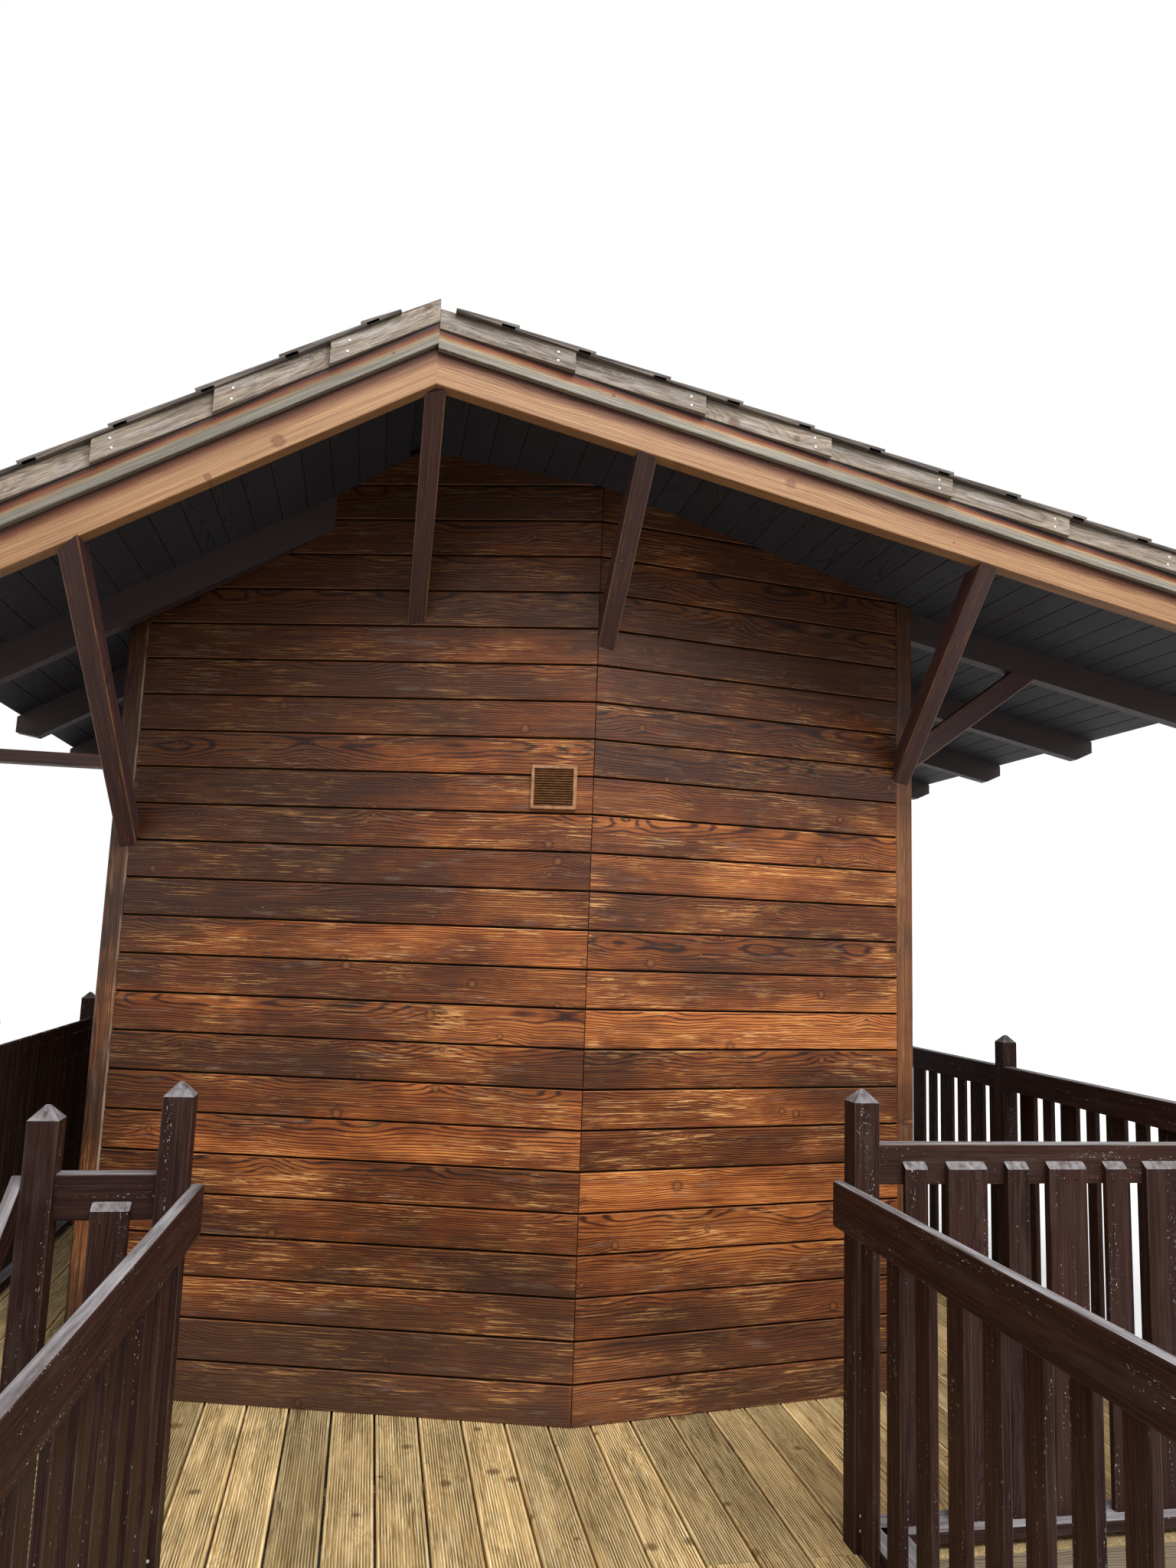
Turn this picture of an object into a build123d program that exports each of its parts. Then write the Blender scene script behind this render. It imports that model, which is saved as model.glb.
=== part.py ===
from build123d import *
from math import atan2, cos, degrees, hypot, radians, sin, tan
import os

# Wooden cabin on a raised terrace, reached by a railed walkway. The end wall is bent in plan,
# and an uneven gable roof covers cabin and terrace alike.
# The origin lies on the ground, in the middle of the outline seen from above.
# +Y runs from the walkway's free end towards the cabin, +X to the right, lengths are in mm.

# Roof: the ridge runs along Y, the left slope is short and steep, the right one long and flat.
# Depths and heights of its boards are square to the slope, so the two sides differ when plumb
left_run = 1714
right_run = 3640
left_pitch = 31.2
right_pitch = 11.9
eave_lip = 30
rafter_pitch = 895
rafter_count = 7
rafter_width = 60
rafter_depth = 120
tail_cut = 90
tail_end = 60
barge_drop = 9
barge_height = 72
barge_thickness = 25
verge_board_lap = 8
verge_board_butt = 24
verge_board_tail = 2
left_verge_pieces = 5
right_verge_pieces = 8
roof_deck_depth = 122
covering_overhang = 8
course_butt = 20
course_tail = 8
left_courses = 7
right_courses = 14
ridge_board_width = 150
ridge_board_thickness = 14
ridge_board_setback = 60

# Terrace and walkway
terrace_length = 5980
terrace_left_reach = 1797
terrace_right_reach = 3263
walkway_length = 1960
walkway_left_reach = 580
walkway_right_reach = 1393
walkway_flare = 83
deck_height = 560
deck_board = 28
joist_depth = 145
joist_width = 45
terrace_joists = 9
walkway_joists = 3
beam_depth = 145
beam_width = 95
leg_width = 95
legs_per_beam = 4

# Cabin: six outer corners, the end walls bent at a seam
ridge_headroom = 3497
wall_thickness = 80
left_wall_reach = 1123
right_wall_reach = 2110
seam_reach = 693
left_wall_half = 1609
right_wall_half = 1879
seam_half = 2099
floor_thickness = 27

# Stair down from the terrace's front edge, on the walkway's left
stair_risers = 3
stair_going = 253
tread_depth = 290
tread_thickness = 40
stringer_thickness = 45
stringer_depth = 220
stringer_over_nosing = 20
newel_setback = 130
newel_height = 1180
stair_rail_start = 1036
stair_rail_height = 110

# Door in the right wall
door_width = 850
door_height = 2000
door_frame_width = 45
door_leaf_thickness = 40
door_gap = 3
ledge_height = 110
ledge_thickness = 22
ledge_shares = (0.15, 0.5, 0.85)

# Vent grille beside the seam
vent_width = 176
vent_height = 170
vent_rim = 13
vent_chamfer = 3
vent_depth = 15
vent_from_seam = 150
vent_level = 2270
vent_slats = 15
slat_thickness = 1.5
slat_tilt = 40
slat_share = 0.7

# Braces under the overhanging roof
brace_width = 70
brace_depth = 88
brace_setback = 8
left_knee_inset = 41
left_knee_lean = 30
right_knee_inset = 54
right_knee_lean = 65
seam_knee_offset = 32
knee_angles = (38, 36.6, 40.6, 39.5)
side_brace_angle = 37
side_brace_drop = 603
tie_size = 48
tie_level = 2275

# Railings
post_width = 80
post_height = 1245
post_point = 36
post_tip = 12
rail_height = 118
rail_top = 1122
handrail_thickness = 34
handrail_height = 132
handrail_top = 1005
sill_width = 120
sill_thickness = 34
sill_top = 65
baluster_thickness = 24
baluster_bevel = 20
baluster_narrow = 73
baluster_wide = 128
baluster_pitch = 170
baluster_first = 160
baluster_shy = 50
baluster_clearance = 20
walkway_baluster_width = 82
walkway_baluster_first = 155
walkway_baluster_pitch = 165
walkway_baluster_shift = 35
second_post_offset = 333
second_post_drop = 64
gate_rail_top = 1042
gate_baluster_width = 98
gate_baluster_shy = 70
gate_baluster_shift = 19
first_side_bay = 2223
back_bays = 3
screen_thickness = 12
screen_top = 1140

# Places worked out from the sizes above
left_fall = tan(radians(left_pitch))
right_fall = tan(radians(right_pitch))
left_plumb = 1 / cos(radians(left_pitch))
right_plumb = 1 / cos(radians(right_pitch))
half_width = (terrace_left_reach + right_run + eave_lip) / 2
half_length = (walkway_length + terrace_length) / 2
ridge_x = terrace_left_reach - half_width
terrace_left = ridge_x - terrace_left_reach
terrace_right = ridge_x + terrace_right_reach
terrace_front = -half_length + walkway_length
terrace_back = half_length
middle_y = (terrace_front + terrace_back) / 2
rafter_places = [middle_y + rafter_pitch * (i - (rafter_count - 1) / 2) for i in range(rafter_count)]
verge_front = rafter_places[0] - rafter_width / 2
verge_back = rafter_places[-1] + rafter_width / 2
ridge_underside = deck_height + ridge_headroom
left_eave = ridge_x - left_run
right_eave = ridge_x + right_run
roof_top = rafter_depth + roof_deck_depth
joist_top = deck_height - deck_board
beam_top = joist_top - joist_depth
leg_top = beam_top - beam_depth
walkway_middle_y = -half_length + walkway_length / 2


def slope_height(x):
    """Height above the ground of the rafters' lower edge, at a place across the roof."""
    if x < ridge_x:
        return ridge_underside - (ridge_x - x) * left_fall
    return ridge_underside - (x - ridge_x) * right_fall


def upright_outline(points, y):
    """Face through points given as (x, z), standing at y and facing the walkway."""
    with BuildSketch(Plane.XZ.offset(-y)) as outline:
        with BuildLine():
            Polyline(*points, close=True)
        make_face()
    return outline.sketch


def plumb_of(eave):
    """Plumb height of a depth of one, measured square to the slope that ends at this eave."""
    return left_plumb if eave < ridge_x else right_plumb


def slope_strip(eave, low, high, y):
    """Face of a strip from ridge to eave between plumb cuts, low and high square to the slope."""
    plumb = plumb_of(eave)
    points = [
        (ridge_x, ridge_underside + low * plumb),
        (eave, slope_height(eave) + low * plumb),
        (eave, slope_height(eave) + high * plumb),
        (ridge_x, ridge_underside + high * plumb),
    ]
    return upright_outline(points, y)


def rafter_outline(eave, y):
    """Face of a rafter whose tail is cut back from below at the eave."""
    plumb = plumb_of(eave)
    cut_x = eave + tail_cut if eave < ridge_x else eave - tail_cut
    points = [
        (ridge_x, ridge_underside),
        (cut_x, slope_height(cut_x)),
        (eave, slope_height(eave) + (rafter_depth - tail_end) * plumb),
        (eave, slope_height(eave) + rafter_depth * plumb),
        (ridge_x, ridge_underside + rafter_depth * plumb),
    ]
    return upright_outline(points, y)


def roof_section(above, y):
    """Face of the whole room under the roof, up to a depth above the rafters' lower edge."""
    points = [
        (left_eave, 0),
        (right_eave, 0),
        (right_eave, slope_height(right_eave) + above * right_plumb),
        (ridge_x, ridge_underside + above * right_plumb),
    ]
    if above:
        points.append((ridge_x, ridge_underside + above * left_plumb))
    points.append((left_eave, slope_height(left_eave) + above * left_plumb))
    return upright_outline(points, y)


def save(piece, name):
    """Names a finished piece and writes it to its own file."""
    piece.part.label = name
    export_step(piece.part, f"parts/{name}.step")


os.makedirs("parts", exist_ok=True)

# Cabin plan: outer corners in turn, each with its inner mitre point
left_wall_x = ridge_x - left_wall_reach
right_wall_x = ridge_x + right_wall_reach
seam_x = ridge_x + seam_reach
corner_points = [
    (left_wall_x, middle_y - left_wall_half),
    (seam_x, middle_y - seam_half),
    (right_wall_x, middle_y - right_wall_half),
    (right_wall_x, middle_y + right_wall_half),
    (seam_x, middle_y + seam_half),
    (left_wall_x, middle_y + left_wall_half),
]


def toward(start, end, distance):
    """Point at a distance from start on the line to end."""
    length = hypot(end[0] - start[0], end[1] - start[1])
    share = distance / length
    return (start[0] + (end[0] - start[0]) * share, start[1] + (end[1] - start[1]) * share)


def mitre_point(index):
    """Inner corner of the walls behind one outer corner, on the bisector of its angle."""
    corner = corner_points[index]
    one = toward(corner, corner_points[index - 1], 1)
    other = toward(corner, corner_points[(index + 1) % len(corner_points)], 1)
    ahead = (one[0] + other[0] - 2 * corner[0], one[1] + other[1] - 2 * corner[1])
    half_angle_cos = hypot(*ahead) / 2
    reach = wall_thickness / (1 - half_angle_cos**2) ** 0.5
    return (corner[0] + ahead[0] / hypot(*ahead) * reach, corner[1] + ahead[1] / hypot(*ahead) * reach)


inner_points = [mitre_point(i) for i in range(len(corner_points))]


def wall_plan(index, start_post, end_post):
    """Plan of the wall from one corner to the next, stopping at the corner posts that it meets."""
    start = corner_points[index]
    end = corner_points[(index + 1) % len(corner_points)]
    return [
        toward(start, end, wall_thickness if start_post else 0),
        toward(end, start, wall_thickness if end_post else 0),
        inner_points[(index + 1) % len(corner_points)],
        inner_points[index],
    ]


# Shapes that other pieces are fitted to: the room up to the roof boards, the room up to the
# rafters, and the block that the outer walls enclose
with BuildPart() as room_under_boards:
    extrude(roof_section(rafter_depth, terrace_back), amount=terrace_back - terrace_front)

with BuildPart() as room_under_rafters:
    extrude(roof_section(0, terrace_back), amount=terrace_back - terrace_front)

with BuildPart() as cabin_block:
    with BuildSketch():
        with BuildLine():
            Polyline(*corner_points, close=True)
        make_face()
    extrude(amount=ridge_underside + roof_top)

# Timber legs, the beams on them and the joists across the beams
beam_places = [
    terrace_left + joist_width + beam_width,
    (terrace_left + terrace_right) / 2,
    terrace_right - joist_width - beam_width,
]
walkway_left = ridge_x - walkway_left_reach - post_width / 2 - walkway_flare
walkway_right = ridge_x + walkway_right_reach + post_width / 2
walkway_beam_places = [walkway_left + beam_width, walkway_right - beam_width]
leg_span = terrace_length - 2 * joist_width - 2 * beam_width
leg_places = [middle_y + leg_span * (i / (legs_per_beam - 1) - 0.5) for i in range(legs_per_beam)]
walkway_leg_y = -half_length + joist_width + beam_width

with BuildPart() as deck_posts:
    with BuildSketch():
        with Locations(*[(x, y) for x in beam_places for y in leg_places]):
            Rectangle(leg_width, leg_width)
        with Locations(*[(x, walkway_leg_y) for x in walkway_beam_places]):
            Rectangle(leg_width, leg_width)
    extrude(amount=leg_top)
save(deck_posts, "deck_posts")

with BuildPart() as deck_beams:
    with BuildSketch(Plane.XY.offset(leg_top)):
        with Locations(*[(x, middle_y) for x in beam_places]):
            Rectangle(beam_width, terrace_length - 2 * joist_width)
        with Locations(*[(x, walkway_middle_y) for x in walkway_beam_places]):
            Rectangle(beam_width, walkway_length)
    extrude(amount=beam_depth)
save(deck_beams, "deck_beams")

with BuildPart() as deck_joists:
    with BuildSketch(Plane.XY.offset(beam_top)):
        with Locations(((terrace_left + terrace_right) / 2, middle_y)):
            with GridLocations(0, terrace_length / (terrace_joists + 1), 1, terrace_joists):
                Rectangle(terrace_right - terrace_left - 2 * joist_width, joist_width)
        with Locations(((walkway_left + walkway_right) / 2, walkway_middle_y)):
            with GridLocations(0, walkway_length / (walkway_joists + 1), 1, walkway_joists):
                Rectangle(walkway_right - walkway_left - 2 * joist_width, joist_width)
    extrude(amount=joist_depth)
save(deck_joists, "deck_joists")

with BuildPart() as deck_rims:
    with BuildSketch(Plane.XY.offset(beam_top)):
        for low_x, high_x, rim_y, rim_length in (
            (terrace_left, terrace_right, middle_y, terrace_length),
            (walkway_left, walkway_right, walkway_middle_y, walkway_length),
        ):
            with Locations(((low_x + high_x) / 2, rim_y)):
                Rectangle(high_x - low_x, rim_length)
                Rectangle(high_x - low_x - 2 * joist_width, rim_length - 2 * joist_width, mode=Mode.SUBTRACT)
    extrude(amount=joist_depth)
save(deck_rims, "deck_rims")

with BuildPart() as terrace_deck:
    with BuildSketch(Plane.XY.offset(joist_top)):
        with Locations(((terrace_left + terrace_right) / 2, middle_y)):
            Rectangle(terrace_right - terrace_left, terrace_length)
    extrude(amount=deck_board)
save(terrace_deck, "terrace_deck")

with BuildPart() as walkway_deck:
    with BuildSketch(Plane.XY.offset(joist_top)):
        with Locations(((walkway_left + walkway_right) / 2, walkway_middle_y)):
            Rectangle(walkway_right - walkway_left, walkway_length)
    extrude(amount=deck_board)
save(walkway_deck, "walkway_deck")

# Cabin walls: slabs that stand on the deck and run up to the roof boards, between corner posts
with BuildPart() as corner_posts:
    for index in (0, 2, 3, 5):
        corner = corner_points[index]
        with BuildSketch(Plane.XY.offset(deck_height)):
            with BuildLine():
                Polyline(
                    corner,
                    toward(corner, corner_points[(index + 1) % len(corner_points)], wall_thickness),
                    inner_points[index],
                    toward(corner, corner_points[index - 1], wall_thickness),
                    close=True,
                )
            make_face()
    extrude(amount=ridge_headroom + roof_top)
    add(room_under_boards.part, mode=Mode.INTERSECT)
save(corner_posts, "corner_posts")

# The vent sits on the front wall's left leaf, on a plane that faces outwards
front_left_start = corner_points[0]
front_left_end = corner_points[1]
front_left_angle = atan2(front_left_end[1] - front_left_start[1], front_left_end[0] - front_left_start[0])
vent_centre = toward(front_left_end, front_left_start, vent_from_seam)
vent_plane = Plane(
    origin=(vent_centre[0], vent_centre[1], deck_height + vent_level),
    x_dir=(cos(front_left_angle), sin(front_left_angle), 0),
    z_dir=(sin(front_left_angle), -cos(front_left_angle), 0),
)

with BuildPart() as front_wall_left:
    with BuildSketch(Plane.XY.offset(deck_height)):
        with BuildLine():
            Polyline(*wall_plan(0, True, False), close=True)
        make_face()
    extrude(amount=ridge_headroom + roof_top)
    add(room_under_boards.part, mode=Mode.INTERSECT)
    with BuildSketch(vent_plane):
        Rectangle(vent_width - 4 * vent_rim, vent_height - 4 * vent_rim)
    extrude(amount=-wall_thickness, mode=Mode.SUBTRACT)
save(front_wall_left, "front_wall_left")

plain_walls = {
    "front_wall_right": (1, False, True),
    "back_wall_right": (3, True, False),
    "back_wall_left": (4, False, True),
    "left_wall": (5, True, True),
}
finished_walls = [corner_posts, front_wall_left]
for wall_name, (index, start_post, end_post) in plain_walls.items():
    with BuildPart() as plain_wall:
        with BuildSketch(Plane.XY.offset(deck_height)):
            with BuildLine():
                Polyline(*wall_plan(index, start_post, end_post), close=True)
            make_face()
        extrude(amount=ridge_headroom + roof_top)
        add(room_under_boards.part, mode=Mode.INTERSECT)
    save(plain_wall, wall_name)
    finished_walls.append(plain_wall)

# Door frame with a sill in the right wall, the wall fitted round it
door_plane = Plane.YZ.offset(right_wall_x - wall_thickness)
door_centre = (middle_y, deck_height + door_height / 2)
with BuildPart() as doorway:
    with BuildSketch(door_plane):
        with Locations(door_centre):
            Rectangle(door_width, door_height)
    extrude(amount=wall_thickness)

with BuildPart() as right_wall:
    with BuildSketch(Plane.XY.offset(deck_height)):
        with BuildLine():
            Polyline(*wall_plan(2, True, True), close=True)
        make_face()
    extrude(amount=ridge_headroom + roof_top)
    add(room_under_boards.part, mode=Mode.INTERSECT)
    add(doorway.part, mode=Mode.SUBTRACT)
save(right_wall, "right_wall")
finished_walls.append(right_wall)

with BuildPart() as cabin_floor:
    with BuildSketch(Plane.XY.offset(deck_height)):
        with BuildLine():
            Polyline(*inner_points, close=True)
        make_face()
    extrude(amount=floor_thickness)
save(cabin_floor, "cabin_floor")

frame_opening_width = door_width - 2 * door_frame_width
frame_opening_height = door_height - 2 * door_frame_width
with BuildPart() as door_frame:
    add(doorway.part)
    with BuildSketch(door_plane):
        with Locations(door_centre):
            Rectangle(frame_opening_width, frame_opening_height)
    extrude(amount=wall_thickness, mode=Mode.SUBTRACT)
save(door_frame, "door_frame")

# The ledged leaf hangs in the frame, just clear of its top and sides
leaf_width = frame_opening_width - 2 * door_gap
leaf_height = frame_opening_height - door_gap
leaf_base = deck_height + door_frame_width
leaf_plane = Plane.YZ.offset(right_wall_x - (wall_thickness + door_leaf_thickness) / 2)
with BuildPart() as door_leaf:
    with BuildSketch(leaf_plane):
        with Locations((middle_y, leaf_base + leaf_height / 2)):
            Rectangle(leaf_width, leaf_height)
    extrude(amount=door_leaf_thickness)
    with BuildSketch(leaf_plane.offset(-ledge_thickness)):
        for share in ledge_shares:
            with Locations((middle_y, leaf_base + leaf_height * share)):
                Rectangle(leaf_width - 2 * ledge_height, ledge_height)
    extrude(amount=ledge_thickness)
save(door_leaf, "door_leaf")

# Vent: a thin rim on the wall with sloping slats across it
with BuildPart() as vent_frame:
    with BuildSketch(vent_plane):
        RectangleRounded(vent_width, vent_height, vent_rim / 2)
        Rectangle(vent_width - 2 * vent_rim, vent_height - 2 * vent_rim, mode=Mode.SUBTRACT)
    extrude(amount=vent_depth)
    rim_face = vent_frame.faces().sort_by(Axis(vent_plane.origin, vent_plane.z_dir))[-1]
    chamfer(rim_face.outer_wire().edges(), vent_chamfer)
save(vent_frame, "vent_frame")

slat_pitch = (vent_height - 2 * vent_rim) / vent_slats
slat_depth = vent_depth * slat_share
with BuildPart() as vent_louvres:
    slat_section = Plane(
        origin=vent_plane.origin - vent_plane.x_dir * (vent_width / 2 - vent_rim),
        x_dir=vent_plane.z_dir,
        z_dir=vent_plane.x_dir,
    )
    with BuildSketch(slat_section):
        with Locations((vent_depth / 2, 0)):
            with GridLocations(0, slat_pitch, 1, vent_slats):
                Rectangle(slat_depth, slat_thickness, rotation=slat_tilt)
    extrude(amount=vent_width - 2 * vent_rim)
save(vent_louvres, "vent_louvres")

# Rafters: seven pairs that meet at the ridge, let into the walls where they cross them. On each
# slope a barge board, a row of lapped verge boards and the board deck are carried by them
barge_low = rafter_depth - barge_drop
verge_low = barge_low + barge_height - verge_board_lap
for side, eave, pieces in (
    ("left", left_eave, left_verge_pieces),
    ("right", right_eave, right_verge_pieces),
):
    with BuildPart() as rafters:
        for place in rafter_places[1:-1]:
            extrude(rafter_outline(eave, place + rafter_width / 2), amount=rafter_width)
        for wall in finished_walls:
            add(wall.part, mode=Mode.SUBTRACT)
    save(rafters, f"{side}_rafters")

    with BuildPart() as verge_rafters:
        for place in (rafter_places[0], rafter_places[-1]):
            extrude(slope_strip(eave, 0, rafter_depth, place + rafter_width / 2), amount=rafter_width)
    save(verge_rafters, f"{side}_verge_rafters")

    with BuildPart() as barge_boards:
        for back_face in (verge_front, verge_back + barge_thickness):
            extrude(slope_strip(eave, barge_low, barge_low + barge_height, back_face), amount=barge_thickness)
    save(barge_boards, f"{side}_barge_boards")

    # The lapped pieces of a verge make a saw-tooth in plan, each thick at its lower end
    with BuildPart() as verge_boards:
        piece_length = (eave - ridge_x) / pieces
        for root, outward in ((verge_front - barge_thickness, -1), (verge_back + barge_thickness, 1)):
            outer_points = [(eave, root), (ridge_x, root)]
            for i in range(pieces):
                outer_points.append((ridge_x + piece_length * i, root + outward * verge_board_tail))
                outer_points.append((ridge_x + piece_length * (i + 1), root + outward * verge_board_butt))
            with BuildSketch():
                with BuildLine():
                    Polyline(*outer_points, close=True)
                make_face()
        extrude(amount=ridge_underside + 2 * roof_top)
        verge_depth = verge_back - verge_front + 2 * (barge_thickness + verge_board_butt)
        verge_face_y = verge_back + barge_thickness + verge_board_butt
        extrude(slope_strip(eave, verge_low, roof_top, verge_face_y), amount=verge_depth, mode=Mode.INTERSECT)
    save(verge_boards, f"{side}_verge_boards")

    with BuildPart() as roof_deck:
        extrude(slope_strip(eave, rafter_depth, roof_top, verge_back), amount=verge_back - verge_front)
    save(roof_deck, f"{side}_roof_deck")


def course_profile(eave, courses, y):
    """Saw-tooth face of lapped courses: each is thick at its lower edge and thin at its upper."""
    plumb = plumb_of(eave)
    step = (ridge_x - eave) / courses
    lip_x = eave - eave_lip if eave < ridge_x else eave + eave_lip
    points = [
        (ridge_x, ridge_underside + roof_top * plumb),
        (lip_x, slope_height(lip_x) + roof_top * plumb),
    ]
    for i in range(courses):
        low_x = eave + step * i if i else lip_x
        high_x = eave + step * (i + 1)
        points.append((low_x, slope_height(low_x) + (roof_top + course_butt) * plumb))
        points.append((high_x, slope_height(high_x) + (roof_top + course_tail) * plumb))
    return upright_outline(points, y)


verge_overhang = barge_thickness + verge_board_butt + covering_overhang
covering_front = verge_front - verge_overhang
covering_back = verge_back + verge_overhang
for side, eave, courses in (("left", left_eave, left_courses), ("right", right_eave, right_courses)):
    with BuildPart() as covering:
        extrude(course_profile(eave, courses, covering_back), amount=covering_back - covering_front)
    save(covering, f"{side}_roof_covering")

# Ridge boards: one bedded on the top course of each slope, the left one reaching over the right
left_board_foot = ridge_x - ridge_board_width
right_board_foot = ridge_x + ridge_board_width
left_bed = course_tail + (course_butt - course_tail) * ridge_board_width * left_courses / left_run
right_bed = course_tail + (course_butt - course_tail) * ridge_board_width * right_courses / right_run
left_crest = ridge_underside + (roof_top + course_tail) * left_plumb
right_crest = ridge_underside + (roof_top + course_tail) * right_plumb
ridge_board_back = covering_back - ridge_board_setback
with BuildPart() as ridge_cap:
    bed_points = [
        (left_board_foot, slope_height(left_board_foot) + (roof_top + left_bed) * left_plumb),
        (ridge_x, left_crest),
        (ridge_x, right_crest),
        (right_board_foot, slope_height(right_board_foot) + (roof_top + right_bed) * right_plumb),
    ]
    top_points = [
        (right_board_foot, bed_points[-1][1] + ridge_board_thickness),
        (ridge_x, left_crest + ridge_board_thickness),
        (left_board_foot, bed_points[0][1] + ridge_board_thickness),
    ]
    extrude(
        upright_outline(bed_points + top_points, ridge_board_back),
        amount=ridge_board_back - covering_front - ridge_board_setback,
    )
save(ridge_cap, "ridge_cap")


def front_wall_y(x):
    """Place along the cabin of the front wall's outer face, at a place across it."""
    first = 0 if x < seam_x else 1
    start = corner_points[first]
    end = corner_points[first + 1]
    return start[1] + (end[1] - start[1]) * (x - start[0]) / (end[0] - start[0])


def brace_face(plane, head_z, reach, angle):
    """Face of a brace that falls from a head at the plane's origin, its plumb ends still to be cut."""
    fall = reach * tan(radians(angle))
    plumb_depth = brace_depth / cos(radians(angle))
    with BuildSketch(plane) as brace:
        with BuildLine():
            Polyline(
                (0, head_z),
                (reach, head_z - fall),
                (reach, head_z - fall + plumb_depth),
                (0, head_z + plumb_depth),
                close=True,
            )
        make_face()
    return brace.sketch


# Knee braces from the end walls up to the verge rafters, the outer two leaning a little sideways:
# places across from the ridge of their heads and feet
knee_feet = (
    left_knee_inset + left_knee_lean - left_wall_reach,
    0,
    seam_reach + seam_knee_offset,
    right_wall_reach - right_knee_inset,
)
knee_heads = (
    left_knee_inset - left_wall_reach,
    0,
    seam_reach + seam_knee_offset,
    right_wall_reach - right_knee_inset - right_knee_lean,
)
for end, facing, verge_face in (("front", 1, verge_front), ("back", -1, verge_back)):
    with BuildPart() as knee_braces:
        for head, foot, angle in zip(knee_heads, knee_feet, knee_angles):
            head_x = ridge_x + head
            overhang = front_wall_y(ridge_x + foot) - verge_front
            inward = Vector(foot - head, facing * overhang, 0).normalized()
            knee_plane = Plane(
                origin=(head_x, verge_face + facing * brace_setback, 0),
                x_dir=inward,
                z_dir=inward.cross(Vector(0, 0, 1)),
            )
            knee = brace_face(knee_plane, slope_height(head_x), overhang + brace_width, angle)
            extrude(knee, amount=brace_width / 2, both=True)
        add(room_under_rafters.part, mode=Mode.INTERSECT)
        add(cabin_block.part, mode=Mode.SUBTRACT)
    save(knee_braces, f"{end}_knee_braces")

# Side braces from the right wall out to the second rafters, and level ties on the left
side_places = [rafter_places[1], rafter_places[-2]]
with BuildPart() as side_braces:
    side_reach = 2 * rafter_pitch
    side_head = slope_height(right_wall_x) - side_brace_drop + side_reach * tan(radians(side_brace_angle))
    for place in side_places:
        side_plane = Plane(origin=(right_wall_x + side_reach, place, 0), x_dir=(-1, 0, 0), z_dir=(0, 1, 0))
        extrude(
            brace_face(side_plane, side_head, side_reach, side_brace_angle),
            amount=rafter_width / 2,
            both=True,
        )
    add(room_under_rafters.part, mode=Mode.INTERSECT)
save(side_braces, "side_braces")

with BuildPart() as eave_ties:
    for place in side_places:
        tie_low = deck_height + tie_level
        tie_high = tie_low + tie_size
        extrude(
            upright_outline(
                [
                    (left_wall_x, tie_low),
                    (left_eave + tail_cut, tie_low),
                    (left_eave + tail_cut, slope_height(left_eave + tail_cut)),
                    (left_eave + tail_cut + tie_size, slope_height(left_eave + tail_cut + tie_size)),
                    (left_eave + tail_cut + tie_size, tie_high),
                    (left_wall_x, tie_high),
                ],
                place + rafter_width / 2,
            ),
            amount=rafter_width,
        )
save(eave_ties, "eave_ties")

# Railing posts with pointed tops, all standing on the deck
left_rail_x = terrace_left + post_width / 2
right_rail_x = terrace_right - post_width / 2
front_rail_y = terrace_front + post_width / 2
back_rail_y = terrace_back - post_width / 2
walkway_left_x = ridge_x - walkway_left_reach
walkway_right_x = ridge_x + walkway_right_reach
walkway_end_y = -half_length + post_width / 2
second_post_x = walkway_left_x - second_post_offset
first_side_y = front_rail_y + first_side_bay
side_post_y = [front_rail_y, first_side_y, (first_side_y + back_rail_y) / 2, back_rail_y]
back_step = (right_rail_x - left_rail_x) / back_bays
back_post_x = [left_rail_x + back_step * i for i in range(back_bays + 1)]
post_places = [
    (walkway_left_x, front_rail_y),
    (walkway_right_x, front_rail_y),
    (walkway_left_x - walkway_flare, walkway_end_y),
    (walkway_right_x, walkway_end_y),
]
post_places += [(x, y) for x in (left_rail_x, right_rail_x) for y in side_post_y]
post_places += [(x, back_rail_y) for x in back_post_x[1:-1]]
point_taper = degrees(atan2((post_width - post_tip) / 2, post_point))


def post_plan(places, level):
    """Square plans of posts, at a height above the ground."""
    with BuildSketch(Plane.XY.offset(level)) as plan:
        with Locations(*places):
            Rectangle(post_width, post_width)
    return plan.sketch


def add_posts(places, foot, top):
    """Adds posts from one height above the ground to another, with their points above that."""
    extrude(post_plan(places, foot), amount=top - foot)
    extrude(post_plan(places, top), amount=post_point, taper=point_taper)


post_top = deck_height + post_height
with BuildPart() as railing_posts:
    add_posts(post_places, deck_height, post_top)
    add_posts([(second_post_x, front_rail_y)], deck_height, post_top - second_post_drop)
save(railing_posts, "railing_posts")


def bay_plane(start, end, setback):
    """Plane of a railing bay: x runs from start to end, y up from the deck, z to its outer side."""
    length = hypot(end[0] - start[0], end[1] - start[1])
    along = Vector((end[0] - start[0]) / length, (end[1] - start[1]) / length, 0)
    outward = along.cross(Vector(0, 0, 1))
    origin = Vector(start[0], start[1], deck_height) + outward * setback
    return Plane(origin=origin, x_dir=along, z_dir=outward)


def across_plane(plane, place):
    """Upright plane across a bay, at a distance from its start: x points to its outer side."""
    return Plane(origin=plane.origin + plane.x_dir * place, x_dir=plane.z_dir, z_dir=-plane.x_dir)


def board_face(plane, first, last, low, high):
    """Face of one level board of a bay."""
    with BuildSketch(plane) as board:
        with Locations(((first + last) / 2, (low + high) / 2)):
            Rectangle(last - first, high - low)
    return board.sketch


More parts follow.
